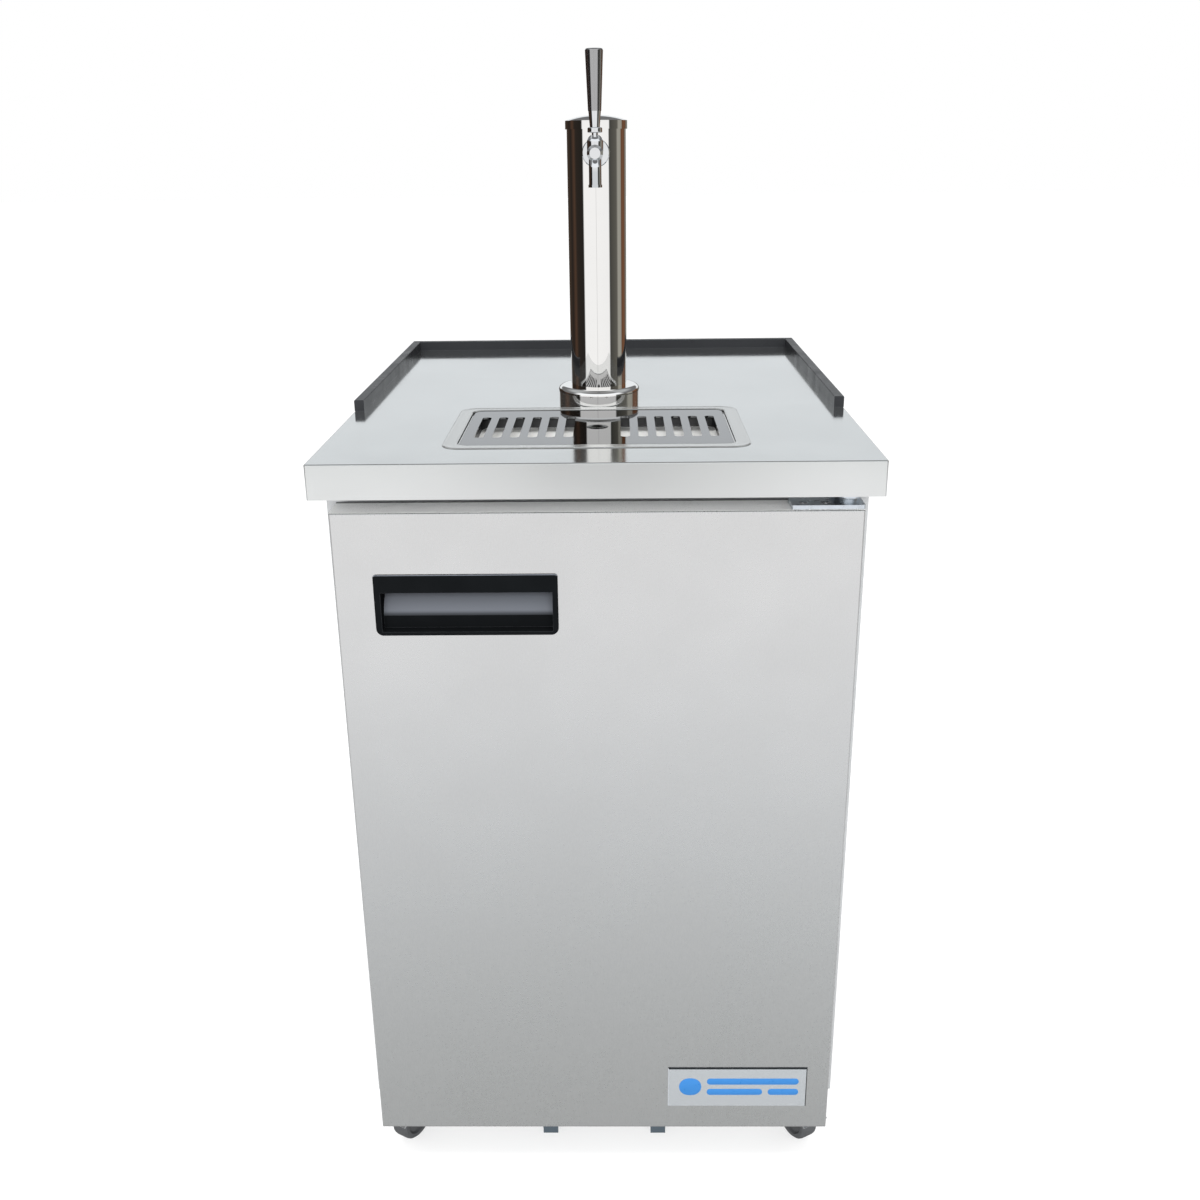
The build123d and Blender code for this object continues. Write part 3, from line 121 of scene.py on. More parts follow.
class Surface(Graph):
    """One procedural material: its shader, and the textures that feed it."""

    def __init__(self, name, color, roughness, **constants):
        self.material = bpy.data.materials.new(name)
        self.material.use_nodes = True
        super().__init__(self.material.node_tree)
        self.shader = self.nodes["Principled BSDF"]
        self.put(self.shader.inputs["Base Color"], color)
        self.put(self.shader.inputs["Roughness"], roughness)
        for key, value in constants.items():
            self.put(self.shader.inputs[key.replace("_", " ").title().replace("Ior", "IOR")], value)
        self.place = self.nodes.new("ShaderNodeTexCoord").outputs["Object"]

    def stretched(self, scale):
        """Object coordinates times a scale: one number, or one for each axis."""
        node = self.nodes.new("ShaderNodeMapping")
        self.put(node.inputs["Vector"], self.place)
        node.inputs["Scale"].default_value = scale if isinstance(scale, tuple) else (scale,) * 3
        return node.outputs["Vector"]

    def noise(self, scale, detail=3.0, roughness=0.55, distortion=0.0):
        """Noise at a scale per metre: one number, or one for each axis."""
        node = self.nodes.new("ShaderNodeTexNoise")
        self.put(node.inputs["Vector"], self.stretched(scale))
        node.inputs["Scale"].default_value = 1.0
        node.inputs["Detail"].default_value = detail
        node.inputs["Roughness"].default_value = roughness
        node.inputs["Distortion"].default_value = distortion
        return node.outputs["Fac"]

    def cells(self, scale, feature="F1"):
        """Voronoi cells at a scale per metre."""
        node = self.nodes.new("ShaderNodeTexVoronoi")
        node.feature = feature
        self.put(node.inputs["Vector"], self.stretched(scale))
        node.inputs["Scale"].default_value = 1.0
        return node.outputs

    def edges(self, radius):
        """1 along the solid's sharp edges, 0 elsewhere."""
        bevel = self.nodes.new("ShaderNodeBevel")
        bevel.samples = 4
        bevel.inputs["Radius"].default_value = radius
        geometry = self.nodes.new("ShaderNodeNewGeometry")
        dot = self.nodes.new("ShaderNodeVectorMath")
        dot.operation = "DOT_PRODUCT"
        self.put(dot.inputs[0], bevel.outputs["Normal"])
        self.put(dot.inputs[1], geometry.outputs["Normal"])
        return self.span(dot.outputs["Value"], (0.97, 0.80), (0.0, 1.0))

    def normal(self, axis):
        """How far the face looks along an axis, from -1 to 1."""
        geometry = self.nodes.new("ShaderNodeNewGeometry")
        return self.separate(geometry.outputs["Normal"])["XYZ".index(axis)]

    def color(self, value):
        self.put(self.shader.inputs["Base Color"], value)

    def rough(self, value):
        self.put(self.shader.inputs["Roughness"], value)

    def bump(self, height, distance, strength=1.0):
        """Adds a bump of that height in metres, on top of any earlier one."""
        node = self.nodes.new("ShaderNodeBump")
        node.inputs["Strength"].default_value = strength
        node.inputs["Distance"].default_value = distance
        self.put(node.inputs["Height"], height)
        earlier = self.shader.inputs["Normal"].links
        if earlier:
            self.put(node.inputs["Normal"], earlier[0].from_socket)
        self.put(self.shader.inputs["Normal"], node.outputs["Normal"])


def shade(color, amount):
    """The colour made lighter or darker by a factor."""
    return tuple(min(1.0, channel * amount) for channel in color)


# -------------------------------------------------------------------- materials
ACROSS, UPRIGHT_GRAIN = (90.0, 2600.0, 2600.0), (900.0, 900.0, 260.0)
EVEN_GRAIN = 1500.0
# The first colour is a painted reflection on the pull's sloping finger ramp.
RAMP_PAINTED_REFLECTION, PULL_EDGE = (0.10, 0.107, 0.122), (0.03, 0.032, 0.035)
PAINTED_SHADE_BLACK, PAINTED_SHADE_Y = (0.015, 0.016, 0.017), (-0.3209, -0.3203)   # painted shade: a dark strip at the rear of the door's top, under the worktop
# Painted shade for the badge plate's upper and right-hand bevels.
BEVEL_PAINTED_SHADE = (0.05, 0.055, 0.06)
# Painted reflection: the grey of the chrome below the spout's top, and how fast it fades in.
PAINTED_REFLECTION_GREY, PAINTED_REFLECTION_FADE = (0.63, 0.66, 0.68), 0.006
SPOUT_TOP = 1.222
# Painted shade for the pan's steep walls, painted light for its floor under the grille, and that floor's
# height.
TRAY_WALL_PAINTED_SHADE, TRAY_FLOOR_PAINTED_LIGHT, TRAY_FLOOR_Z = (0.035, 0.036, 0.037), (0.9, 0.9, 0.88), (0.930, 0.935)


def brushed_surface(name, color, roughness, grain, contrast=0.05, depth=4e-6, metallic=1.0):
    """Sheet steel with fine directional grain and faint cloudy handling marks, and its tone."""
    surface = Surface(name, color, roughness, metallic=metallic)
    streaks = surface.noise(grain, detail=4.0, roughness=0.7)
    clouds = surface.noise(9.0, detail=4.0)
    tone = surface.mix(streaks, shade(color, 1.0 - contrast), shade(color, 1.0 + contrast))
    cloudy = surface.span(clouds, (0.35, 0.65), (0.0, 0.12), smooth=True)
    tone = surface.mix(cloudy, tone, shade(color, 0.88))
    surface.color(tone)
    grainy = surface.span(streaks, (0.25, 0.75), (roughness * 0.82, roughness * 1.18))
    surface.rough(surface.math("ADD", grainy, surface.span(clouds, (0.3, 0.7), (-0.02, 0.02))))
    surface.bump(streaks, depth)
    return surface, tone


def brushed_steel(*look):
    """A brushed surface as it is, with nothing painted over its tone."""
    return brushed_surface(*look)[0].material


def door_skin_steel(name, color):
    """Door sheet: its folded top is matt, with a paler painted light on it and a dark strip of painted shade
    along its rear.
    """
    surface, tone = brushed_surface(name, color, 0.3, UPRIGHT_GRAIN, 0.11, 5e-6)
    folded = surface.span(surface.normal("Z"), (0.85, 0.97), (0.0, 1.0), smooth=True)
    rear = surface.span(surface.separate(surface.place)[1], PAINTED_SHADE_Y, (0.0, 1.0))
    painted_shade_strip = surface.math("MULTIPLY", folded, rear)
    # Painted light: the folded top is coloured paler than the sheet.
    painted_light_top = surface.mix(folded, tone, shade(color, 1.15))
    # Painted shade: a near-black strip at the rear of the top, under the worktop.
    surface.color(surface.mix(painted_shade_strip, painted_light_top, PAINTED_SHADE_BLACK))
    surface.put(surface.shader.inputs["Metallic"], surface.math("SUBTRACT", 1.0, folded))
    return surface.material


def badge_steel(name, color):
    """Printed metal plate whose upper and right-hand bevels carry painted shade."""
    surface, tone = brushed_surface(name, color, 0.16, ACROSS, 0.03, 1e-6, 0.92)
    painted_shade_facing = surface.math("MAXIMUM", surface.normal("Z"), surface.normal("X"))
    bevel = surface.span(painted_shade_facing, (0.3, 0.5), (0.0, 1.0))
    # Painted shade on the bevels that face up or to the right.
    surface.color(surface.mix(bevel, tone, BEVEL_PAINTED_SHADE))
    return surface.material


def polished_steel(name, color, roughness, painted_reflection_below=None):
    """Mirror-polished steel with faint wipe marks and, if a height is given, a greyer painted reflection
    below it.
    """
    surface = Surface(name, color, roughness, metallic=1.0)
    wipes = surface.noise((14.0, 14.0, 60.0), detail=5.0, distortion=0.6)
    surface.rough(surface.span(wipes, (0.35, 0.8), (roughness * 0.6, roughness * 1.8), smooth=True))
    tone = surface.mix(surface.span(wipes, (0.3, 0.9), (0.0, 0.25)), color, shade(color, 0.93))
    if painted_reflection_below:
        # Painted reflection: the chrome is coloured greyer below the given height.
        height = surface.separate(surface.place)[2]
        painted_reflection = surface.span(height, (painted_reflection_below, painted_reflection_below - PAINTED_REFLECTION_FADE), (0.0, 1.0))
        tone = surface.mix(painted_reflection, tone, PAINTED_REFLECTION_GREY)
    surface.color(tone)
    surface.bump(surface.noise((45.0, 45.0, 9.0), detail=1.0), 6e-6)
    return surface.material


def tray_steel(name, color, roughness):
    """Satin pan steel: painted shade on its steep walls, and a matt floor under the grille painted pale as
    painted light.
    """
    surface = Surface(name, color, roughness)
    grain = surface.noise(EVEN_GRAIN, detail=4.0)
    steep = surface.math("ABSOLUTE", surface.normal("Z"))
    flat = surface.span(steep, (0.35, 0.75), (0.0, 1.0), smooth=True)
    floor = surface.span(surface.separate(surface.place)[2], TRAY_FLOOR_Z, (1.0, 0.0))
    tone = surface.mix(grain, shade(color, 0.96), shade(color, 1.04))
    # Painted light: the floor under the grille is coloured pale.
    tone = surface.mix(floor, tone, TRAY_FLOOR_PAINTED_LIGHT)
    # Painted shade: the steep walls are coloured near-black.
    surface.color(surface.mix(flat, TRAY_WALL_PAINTED_SHADE, tone))
    surface.put(surface.shader.inputs["Metallic"], surface.span(floor, (0, 1), (0.86, 0.1)))
    surface.rough(surface.span(grain, (0.25, 0.75), (roughness * 0.85, roughness * 1.15)))
    surface.bump(grain, 6e-7)
    return surface.material


def plated_steel(name, color, roughness):
    """Zinc-plated pressed steel: bluish and yellowish clouds, worn bright edges."""
    surface = Surface(name, color, roughness, metallic=1.0)
    clouds = surface.noise(70.0, detail=5.0)
    tone = surface.ramp(clouds, [(0.3, shade(color, 0.8)), (0.5, color), (0.72, shade(color, 1.12))])
    surface.color(surface.mix(surface.edges(0.0006), tone, shade(color, 1.35)))
    surface.rough(surface.span(clouds, (0.3, 0.7), (roughness * 0.75, roughness * 1.25)))
    surface.bump(surface.noise(900.0), 8e-6)
    return surface.material


def galvanised(name, color):
    """Galvanised sheet with its spangle."""
    surface = Surface(name, color, 0.42, metallic=1.0)
    spangle = surface.cells(75.0)["Color"]
    level = surface.separate(spangle)[0]
    surface.color(surface.mix(level, shade(color, 0.78), shade(color, 1.12)))
    surface.rough(surface.span(level, (0.0, 1.0), (0.32, 0.52)))
    surface.bump(surface.noise(700.0), 5e-6)
    return surface.material


def moulded_plastic(name, color, roughness, texture=1400.0, depth=9e-6, edge=1.9, shine=0.5):
    """Moulded plastic with a fine leathered skin and slightly polished edges."""
    surface = Surface(name, color, roughness, specular_ior_level=shine)
    clouds = surface.noise(30.0, detail=4.0)
    skin = surface.noise(texture, detail=2.0)
    tone = surface.mix(clouds, shade(color, 0.86), shade(color, 1.14))
    surface.color(surface.mix(surface.edges(0.0007), tone, shade(color, edge)))
    surface.rough(surface.span(clouds, (0.3, 0.7), (roughness * 0.85, roughness * 1.15)))
    surface.bump(skin, depth)
    return surface.material


def pull_plastic(name, color):
    """Satin black moulding whose sloping finger ramp carries a grey-blue painted reflection in its colour."""
    surface = Surface(name, color, 0.2, specular_ior_level=0.0)
    clouds = surface.noise(30.0, detail=4.0)
    ramp = surface.span(surface.normal("Z"), (0.22, 0.42), (0.0, 1.0), smooth=True)
    level = surface.span(surface.normal("Z"), (0.9, 0.97), (1.0, 0.0), smooth=True)
    painted_reflection_mask = surface.math("MULTIPLY", ramp, level)
    tone = surface.mix(clouds, shade(color, 0.8), shade(color, 1.3))
    body = surface.mix(surface.edges(0.0007), tone, PULL_EDGE)
    # Painted reflection: the sloping ramp faces are coloured grey-blue.
    surface.color(surface.mix(painted_reflection_mask, body, RAMP_PAINTED_REFLECTION))
    surface.rough(surface.span(clouds, (0.3, 0.7), (0.16, 0.26)))
    surface.bump(surface.noise(1400.0, detail=2.0), 3e-6)
    return surface.material


def rubber(name, color):
    """Soft vinyl or rubber with a dusty bloom."""
    surface = Surface(name, color, 0.62)
    bloom = surface.noise(55.0, detail=5.0)
    surface.color(surface.ramp(bloom, [(0.3, shade(color, 0.85)), (0.7, shade(color, 1.3))]))
    surface.rough(surface.span(bloom, (0.3, 0.7), (0.52, 0.74)))
    surface.bump(surface.noise(1800.0), 1.2e-5)
    return surface.material


def painted(name, color, roughness, worn_tone=0.33):
    """Stove enamel with orange peel, chipped to another tone along its edges."""
    surface = Surface(name, color, roughness, coat_weight=0.25, coat_roughness=0.12)
    clouds = surface.noise(25.0, detail=4.0)
    chips = surface.span(surface.noise(260.0, detail=5.0), (0.52, 0.58), (0.0, 1.0))
    worn = surface.math("MULTIPLY", surface.edges(0.0008), chips)
    tone = surface.mix(clouds, shade(color, 0.85), shade(color, 1.15))
    surface.color(surface.mix(worn, tone, (worn_tone, worn_tone, worn_tone)))
    surface.rough(surface.span(clouds, (0.3, 0.7), (roughness * 0.8, roughness * 1.2)))
    surface.bump(surface.noise(330.0, detail=1.0), 2.5e-5)
    return surface.material


def rigid_foam(name, color):
    """Foamed-in-place insulation with broken cells."""
    surface = Surface(name, color, 0.9)
    blotches = surface.noise(40.0, detail=6.0)
    cell_walls = surface.cells(650.0)["Distance"]
    surface.color(surface.ramp(blotches, [(0.3, shade(color, 0.8)), (0.7, shade(color, 1.1))]))
    surface.rough(surface.span(blotches, (0.3, 0.7), (0.82, 0.97)))
    surface.bump(cell_walls, 2.5e-4)
    return surface.material


def stucco_liner(name, color):
    """Aluminium liner sheet, embossed all over."""
    surface = Surface(name, color, 0.38, metallic=0.9)
    pebbles = surface.cells(260.0, "SMOOTH_F1")["Distance"]
    clouds = surface.noise(12.0, detail=4.0)
    surface.color(surface.mix(clouds, shade(color, 0.92), shade(color, 1.06)))
    surface.rough(surface.span(clouds, (0.3, 0.7), (0.33, 0.45)))
    surface.bump(pebbles, 1.6e-4)
    return surface.material


def copper(name, color):
    """Drawn copper pipe, tarnished in patches."""
    surface = Surface(name, color, 0.28, metallic=1.0)
    tarnish = surface.noise(60.0, detail=6.0)
    surface.color(surface.ramp(tarnish, [(0.3, shade(color, 0.45)), (0.5, color), (0.75, shade(color, 1.1))]))
    surface.rough(surface.span(tarnish, (0.3, 0.7), (0.42, 0.2)))
    surface.bump(surface.noise(500.0), 8e-6)
    return surface.material


def vinyl_tube(name, color):
    """Milky beer hose with faint ripples."""
    surface = Surface(name, color, 0.24, coat_weight=0.4, coat_roughness=0.08, subsurface_weight=0.2)
    ripples = surface.noise((120.0, 120.0, 35.0), detail=3.0)
    surface.color(surface.mix(ripples, shade(color, 0.88), shade(color, 1.08)))
    surface.rough(surface.span(ripples, (0.3, 0.7), (0.18, 0.34)))
    surface.bump(ripples, 3e-5)
    return surface.material


def black_lacquer(name, color):
    """Glossy phenolic handle with fine polishing swirls."""
    surface = Surface(name, color, 0.11, specular_ior_level=1.0, coat_weight=1.0, coat_roughness=0.04,
                      coat_ior=4.0)
    swirls = surface.noise((240.0, 240.0, 60.0), detail=5.0, distortion=1.2)
    surface.color(surface.mix(swirls, shade(color, 0.8), shade(color, 1.35)))
    surface.rough(surface.span(swirls, (0.35, 0.75), (0.07, 0.17)))
    surface.bump(surface.noise((90.0, 90.0, 30.0), detail=1.0), 6e-6)
    return surface.material


def blue_enamel(name, color):
    """Screen-printed enamel with a barely uneven surface."""
    surface = Surface(name, color, 0.3, specular_ior_level=0.3)
    clouds = surface.noise(130.0, detail=4.0)
    surface.color(surface.mix(clouds, shade(color, 0.94), shade(color, 1.06)))
    surface.rough(surface.span(clouds, (0.3, 0.7), (0.26, 0.36)))
    surface.bump(surface.noise(420.0, detail=1.0), 2e-6)
    return surface.material


STEEL, WORKTOP_STEEL = (0.74, 0.74, 0.735), (0.665, 0.68, 0.675)
MATERIALS = {
    "galvanised_steel": galvanised("galvanised_steel_look", (0.58, 0.60, 0.61)),
    "side_steel": brushed_steel("side_steel_look", STEEL, 0.36, UPRIGHT_GRAIN),
    "door_steel": door_skin_steel("door_steel_look", STEEL),
    "worktop_steel": brushed_steel("worktop_steel_look", WORKTOP_STEEL, 0.10, ACROSS, 0.03, 6e-7, 0.97),
    "frame_metal": painted("frame_metal_look", (0.37, 0.378, 0.385), 0.3, 0.3),
    "tray_steel": tray_steel("tray_steel_look", (0.63, 0.64, 0.632), 0.2),
    "grille_steel": polished_steel("grille_steel_look", (0.235, 0.241, 0.246), 0.045),
    "tower_chrome": polished_steel("tower_chrome_look", (0.93, 0.92, 0.905), 0.025),
    "faucet_chrome": polished_steel("faucet_chrome_look", (0.80, 0.815, 0.83), 0.035, painted_reflection_below=SPOUT_TOP),
    "badge_metal": badge_steel("badge_metal_look", (0.90, 0.93, 0.97)),
    "screw_steel": plated_steel("screw_steel_look", (0.72, 0.73, 0.74), 0.24),
    "hinge_steel": plated_steel("hinge_steel_look", (0.70, 0.75, 0.80), 0.3),
    "castor_steel": plated_steel("castor_steel_look", (0.55, 0.56, 0.57), 0.3),
    "motor_metal": plated_steel("motor_metal_look", (0.5, 0.51, 0.52), 0.4),
    "coil_metal": brushed_steel("coil_metal_look", (0.68, 0.69, 0.7), 0.4, UPRIGHT_GRAIN),
    "liner_metal": stucco_liner("liner_metal_look", (0.78, 0.79, 0.80)),
    "foam": rigid_foam("foam_look", (0.80, 0.68, 0.42)),
    "black_plastic": moulded_plastic("black_plastic_look", (0.02, 0.02, 0.021), 0.45),
    "rail_plastic": moulded_plastic("rail_plastic_look", (0.020, 0.021, 0.023), 0.3, edge=2.6, shine=0.12),
    "pull_plastic": pull_plastic("pull_plastic_look", (0.004, 0.0045, 0.005)),
    "liner_plastic": moulded_plastic("liner_plastic_look", (0.34, 0.348, 0.352), 0.36, edge=1.1),
    "fan_plastic": moulded_plastic("fan_plastic_look", (0.035, 0.036, 0.04), 0.42),
    "bush_plastic": moulded_plastic("bush_plastic_look", (0.7, 0.69, 0.64), 0.4, edge=1.1),
    "handle_plastic": black_lacquer("handle_plastic_look", (0.008, 0.008, 0.009)),
    "bracket_paint": painted("bracket_paint_look", (0.045, 0.062, 0.078), 0.4),
    "compressor_paint": painted("compressor_paint_look", (0.012, 0.012, 0.013), 0.3),
    "gasket_rubber": rubber("gasket_rubber_look", (0.035, 0.036, 0.038)),
    "castor_tyre": rubber("castor_tyre_look", (0.05, 0.052, 0.055)),
    "line_plastic": vinyl_tube("line_plastic_look", (0.7, 0.72, 0.72)),
    "copper_pipe": copper("copper_pipe_look", (0.80, 0.40, 0.24)),
}
BLUE = blue_enamel("badge_blue_look", (0.022, 0.13, 0.34))


def dress_cad_nodes():
    """Gives each CAD node the detailed material of its slot."""
    for node in frame["nodes"].values():
        for material_slot in node.material_slots:
            material_slot.material = MATERIALS[material_slot.material.name.split(".")[0]]


# ----------------------------------------------------------------- mesh builders
def finish_mesh(name, mesh, material, body, smooth=30.0):
    """Turns a bmesh into a piece that rides on a body."""
    bmesh.ops.recalc_face_normals(mesh, faces=mesh.faces)
    data = bpy.data.meshes.new(name)
    mesh.to_mesh(data)
    mesh.free()
    piece = bpy.data.objects.new(name, data)
    scene.collection.objects.link(piece)
    data.materials.append(material)
    data.shade_smooth()
    data.set_sharp_from_angle(angle=radians(smooth))
    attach(piece, body)
    return piece


def join_loops(mesh, loops, closed_loops=True, closed_stack=False):
    """Quads between successive loops of vertices."""
    pairs = list(zip(loops, loops[1:]))
    if closed_stack:
        pairs.append((loops[-1], loops[0]))
    count = len(loops[0])
    steps = count if closed_loops else count - 1
    for low, high in pairs:
        for index in range(steps):
            after = (index + 1) % count
            mesh.faces.new((low[index], low[after], high[after], high[index]))


def rounded_loop(mesh, centre, half, corner, height, corner_steps=8):
    """Level rounded-rectangle loop; half is (x, y), and a full corner makes a circle."""
    points = []
    for quarter in range(4):
        angle = pi / 2 * quarter
        sign_x = 1 if quarter in (0, 3) else -1
        sign_y = 1 if quarter in (0, 1) else -1
        middle = Vector((centre[0] + sign_x * (half[0] - corner), centre[1] + sign_y * (half[1] - corner)))
        for step in range(corner_steps + 1):
            turn = angle + pi / 2 * step / corner_steps
            points.append((middle.x + corner * cos(turn), middle.y + corner * sin(turn), height))
    return [mesh.verts.new(point) for point in points]


# ------------------------------------------------------------------ door gasket
GASKET_PROFILE = [              # share of the width, share of the depth from the door
    (0.30, 0.00), (0.26, 0.16), (0.10, 0.22), (0.02, 0.32), (0.10, 0.42), (0.22, 0.47),
    (0.22, 0.53), (0.06, 0.58), (0.00, 0.70), (0.02, 0.90), (0.08, 1.00), (0.92, 1.00),
    (0.98, 0.90), (1.00, 0.70), (0.94, 0.58), (0.78, 0.53), (0.78, 0.47), (0.90, 0.42),
    (0.98, 0.32), (0.90, 0.22), (0.74, 0.16), (0.70, 0.00),
]
GASKET_WIDTH = 16 * MM


def door_gasket():
    """Magnetic bellows gasket with mitred corners, in place of the plain ring."""
    low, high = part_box("door_gasket")
    depth = high.y - low.y
    centre = (low + high) / 2
    mesh = bmesh.new()
    loops = []
    for across, along in GASKET_PROFILE:
        inset = across * GASKET_WIDTH
        half_x = (high.x - low.x) / 2 - inset
        half_z = (high.z - low.z) / 2 - inset
        y = low.y + along * depth
        corners = [(-half_x, -half_z), (half_x, -half_z), (half_x, half_z), (-half_x, half_z)]
        loops.append([mesh.verts.new((centre.x + x, y, centre.z + z)) for x, z in corners])
    join_loops(mesh, loops, closed_stack=True)
    piece = finish_mesh("gasket_bellows", mesh, MATERIALS["gasket_rubber"], "door", 50)
    bevel = piece.modifiers.new("soft_folds", "BEVEL")
    bevel.width = 0.35 * MM
    bevel.segments = 2
    bevel.limit_method = "ANGLE"
    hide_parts("door_gasket")


# -------------------------------------------------------------------- drip tray
TRAY_CORNERS = (20 * MM, 13 * MM)
TRAY_SHEET, TRAY_FLOOR_DROP, DISH_RADIUS = 0.9 * MM, 20.9 * MM, 16 * MM
DRAIN_BORE, DRAIN_TAIL = 6.0 * MM, 7.5 * MM
UNDERSIDE_FROM = 5              # the rolled rim's first sections have no sheet underside of their own


def tray_sections():
    """Down the pan: millimetres in from the rim and under the rim's top, and the corner radius."""
    rim, well = TRAY_CORNERS
    return [
        (0.0, 1.0, rim), (0.25, 0.45, rim), (0.9, 0.1, rim - MM), (1.9, 0.0, rim - 2 * MM),
        (3.4, 0.06, rim - 3 * MM), (5.0, 0.2, rim - 4 * MM), (7.2, 0.25, rim - 5 * MM),
        (13.0, 0.25, well + 2 * MM), (14.9, 0.3, well + MM), (15.7, 0.7, well),
        (16.0, 1.7, well), (16.1, 2.9, well), (16.6, 3.25, well), (24.6, 3.3, well),
        (25.6, 3.6, well), (26.0, 4.6, well), (26.2, 17.5, well), (27.0, 19.6, well),
        (29.5, 20.6, well),
    ]


def drip_tray():
    """Pressed pan: beaded rim, ledge for the grille, deep well and a drain tail."""
    low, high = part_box("drip_tray")
    centre = (low + high) / 2
    half = Vector(((high.x - low.x) / 2, (high.y - low.y) / 2))
    mesh = bmesh.new()
    loops = []
    for inset, drop, corner in tray_sections():
        sides = (half.x - inset * MM, half.y - inset * MM)
        loops.append(rounded_loop(mesh, centre, sides, corner, high.z - drop * MM))
    floor = high.z - TRAY_FLOOR_DROP
    drain = [(DISH_RADIUS, floor), (DRAIN_BORE + 2 * MM, floor - 0.2 * MM), (DRAIN_BORE, floor - 1.6 * MM),
             (DRAIN_BORE, low.z), (DRAIN_TAIL, low.z), (DRAIN_TAIL, floor - 3.2 * MM)]
    for radius, height in drain:
        loops.append(rounded_loop(mesh, centre, (radius, radius), radius, height))
    for inset, drop, corner in reversed(tray_sections()[UNDERSIDE_FROM:]):
        sides = (half.x - inset * MM + TRAY_SHEET, half.y - inset * MM + TRAY_SHEET)
        under = high.z - drop * MM - TRAY_SHEET
        loops.append(rounded_loop(mesh, centre, sides, corner + TRAY_SHEET, under))
    join_loops(mesh, loops, closed_stack=True)
    piece = finish_mesh("tray_pan", mesh, MATERIALS["tray_steel"], "cabinet", 40)
    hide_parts("drip_tray")


# ---------------------------------------------------------------- rear louvres
LOUVRE_COLUMNS = (-135 * MM, 135 * MM)
LOUVRE_ROWS, LOUVRE_FIRST, LOUVRE_PITCH = 11, 165 * MM, 19 * MM
LOUVRE_SIZE = (200 * MM, 8 * MM)
HOOD_REACH, HOOD_SHEET = 4.6 * MM, 0.8 * MM
HOOD_OVERLAP = (3 * MM, 1.5 * MM)   # how much wider and taller a hood is than its slot
HOOD_STATIONS, HOOD_ARC_STEPS = 14, 5


def louvre_hood(mesh, x, z, face):
    """Pressed hood over one slot: open below, and swept back to the sheet at both ends."""
    outer, inner = [], []
    for station in range(HOOD_STATIONS + 1):
        along = station / HOOD_STATIONS
        at = x + (along - 0.5) * (LOUVRE_SIZE[0] + HOOD_OVERLAP[0])
        swell = min(1.0, sin(pi * along) * 3.2) ** 0.6 if 0 < along < 1 else 0.0
        for ring, cut in ((outer, 0.0), (inner, HOOD_SHEET)):
            reach = max(0.0, HOOD_REACH * swell - cut)
            rise = (LOUVRE_SIZE[1] + HOOD_OVERLAP[1]) - cut
            line = []
            for step in range(HOOD_ARC_STEPS + 1):
                turn = pi / 2 * step / HOOD_ARC_STEPS
                point = (at, face + reach * sin(turn), z - LOUVRE_SIZE[1] / 2 + rise * cos(turn))
                line.append(mesh.verts.new(point))
            ring.append(line)
    join_loops(mesh, outer, closed_loops=False)
    join_loops(mesh, inner, closed_loops=False)
    lips = [[line[-1] for line in outer], [line[-1] for line in inner]]
    roots = [[line[0] for line in outer], [line[0] for line in inner]]
    for pair in (lips, roots):
        join_loops(mesh, pair, closed_loops=False)
    join_loops(mesh, [outer[0], inner[0]], closed_loops=False)
    join_loops(mesh, [outer[-1], inner[-1]], closed_loops=False)


def rear_louvres():
    """Two columns of pressed hoods on the rear panel."""
    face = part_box("rear_louvre_panel")[1].y
    mesh = bmesh.new()
    for x in LOUVRE_COLUMNS:
        for row in range(LOUVRE_ROWS):
            louvre_hood(mesh, x, LOUVRE_FIRST + LOUVRE_PITCH * row, face)
    finish_mesh("louvre_hoods", mesh, MATERIALS["galvanised_steel"], "cabinet", 40)


# ------------------------------------------------------------------------ badge
BADGE_BARS = [                  # left end and length as shares of the plate; lift and half height in mm
    (0.08, 0.16, 1.5, 13.0), (0.28, 0.66, 9.5, 4.6), (0.28, 0.40, -6.5, 4.6), (0.72, 0.22, -6.5, 4.6),
]


def badge_bars():
    """Plain blue enamel bars on the badge plate."""
    low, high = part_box("badge_plate")
    width = high.x - low.x
    mesh = bmesh.new()
    for left, length, lift, half_height in BADGE_BARS:
        centre_x = low.x + (left + length / 2) * width
        half = (length / 2 * width, half_height * MM)
        loops = []
        for shrink, proud in ((0.0, -0.2), (0.0, 0.25), (0.35, 0.4)):
            sides = (half[0] - shrink * MM, half[1] - shrink * MM)
            level = rounded_loop(mesh, (centre_x, (low.z + high.z) / 2 + lift * MM), sides,
                                 sides[1] * 0.95, 0.0, corner_steps=5)
            for vertex in level:
                vertex.co = Vector((vertex.co.x, low.y - proud * MM, vertex.co.y))
            loops.append(level)
        join_loops(mesh, loops)
        mesh.faces.new(loops[0])
        mesh.faces.new(loops[-1])
    finish_mesh("badge_bars", mesh, BLUE, "door", 30)


# ---------------------------------------------------------------------- castors
NUT_PLACE = 19.0 * MM           # from the wheel's middle to a nut's inner face
NUT_ACROSS, NUT_THICK, NUT_BORE, NUT_STEPS = 9.5 * MM, 2.2 * MM, 2.4 * MM, 24


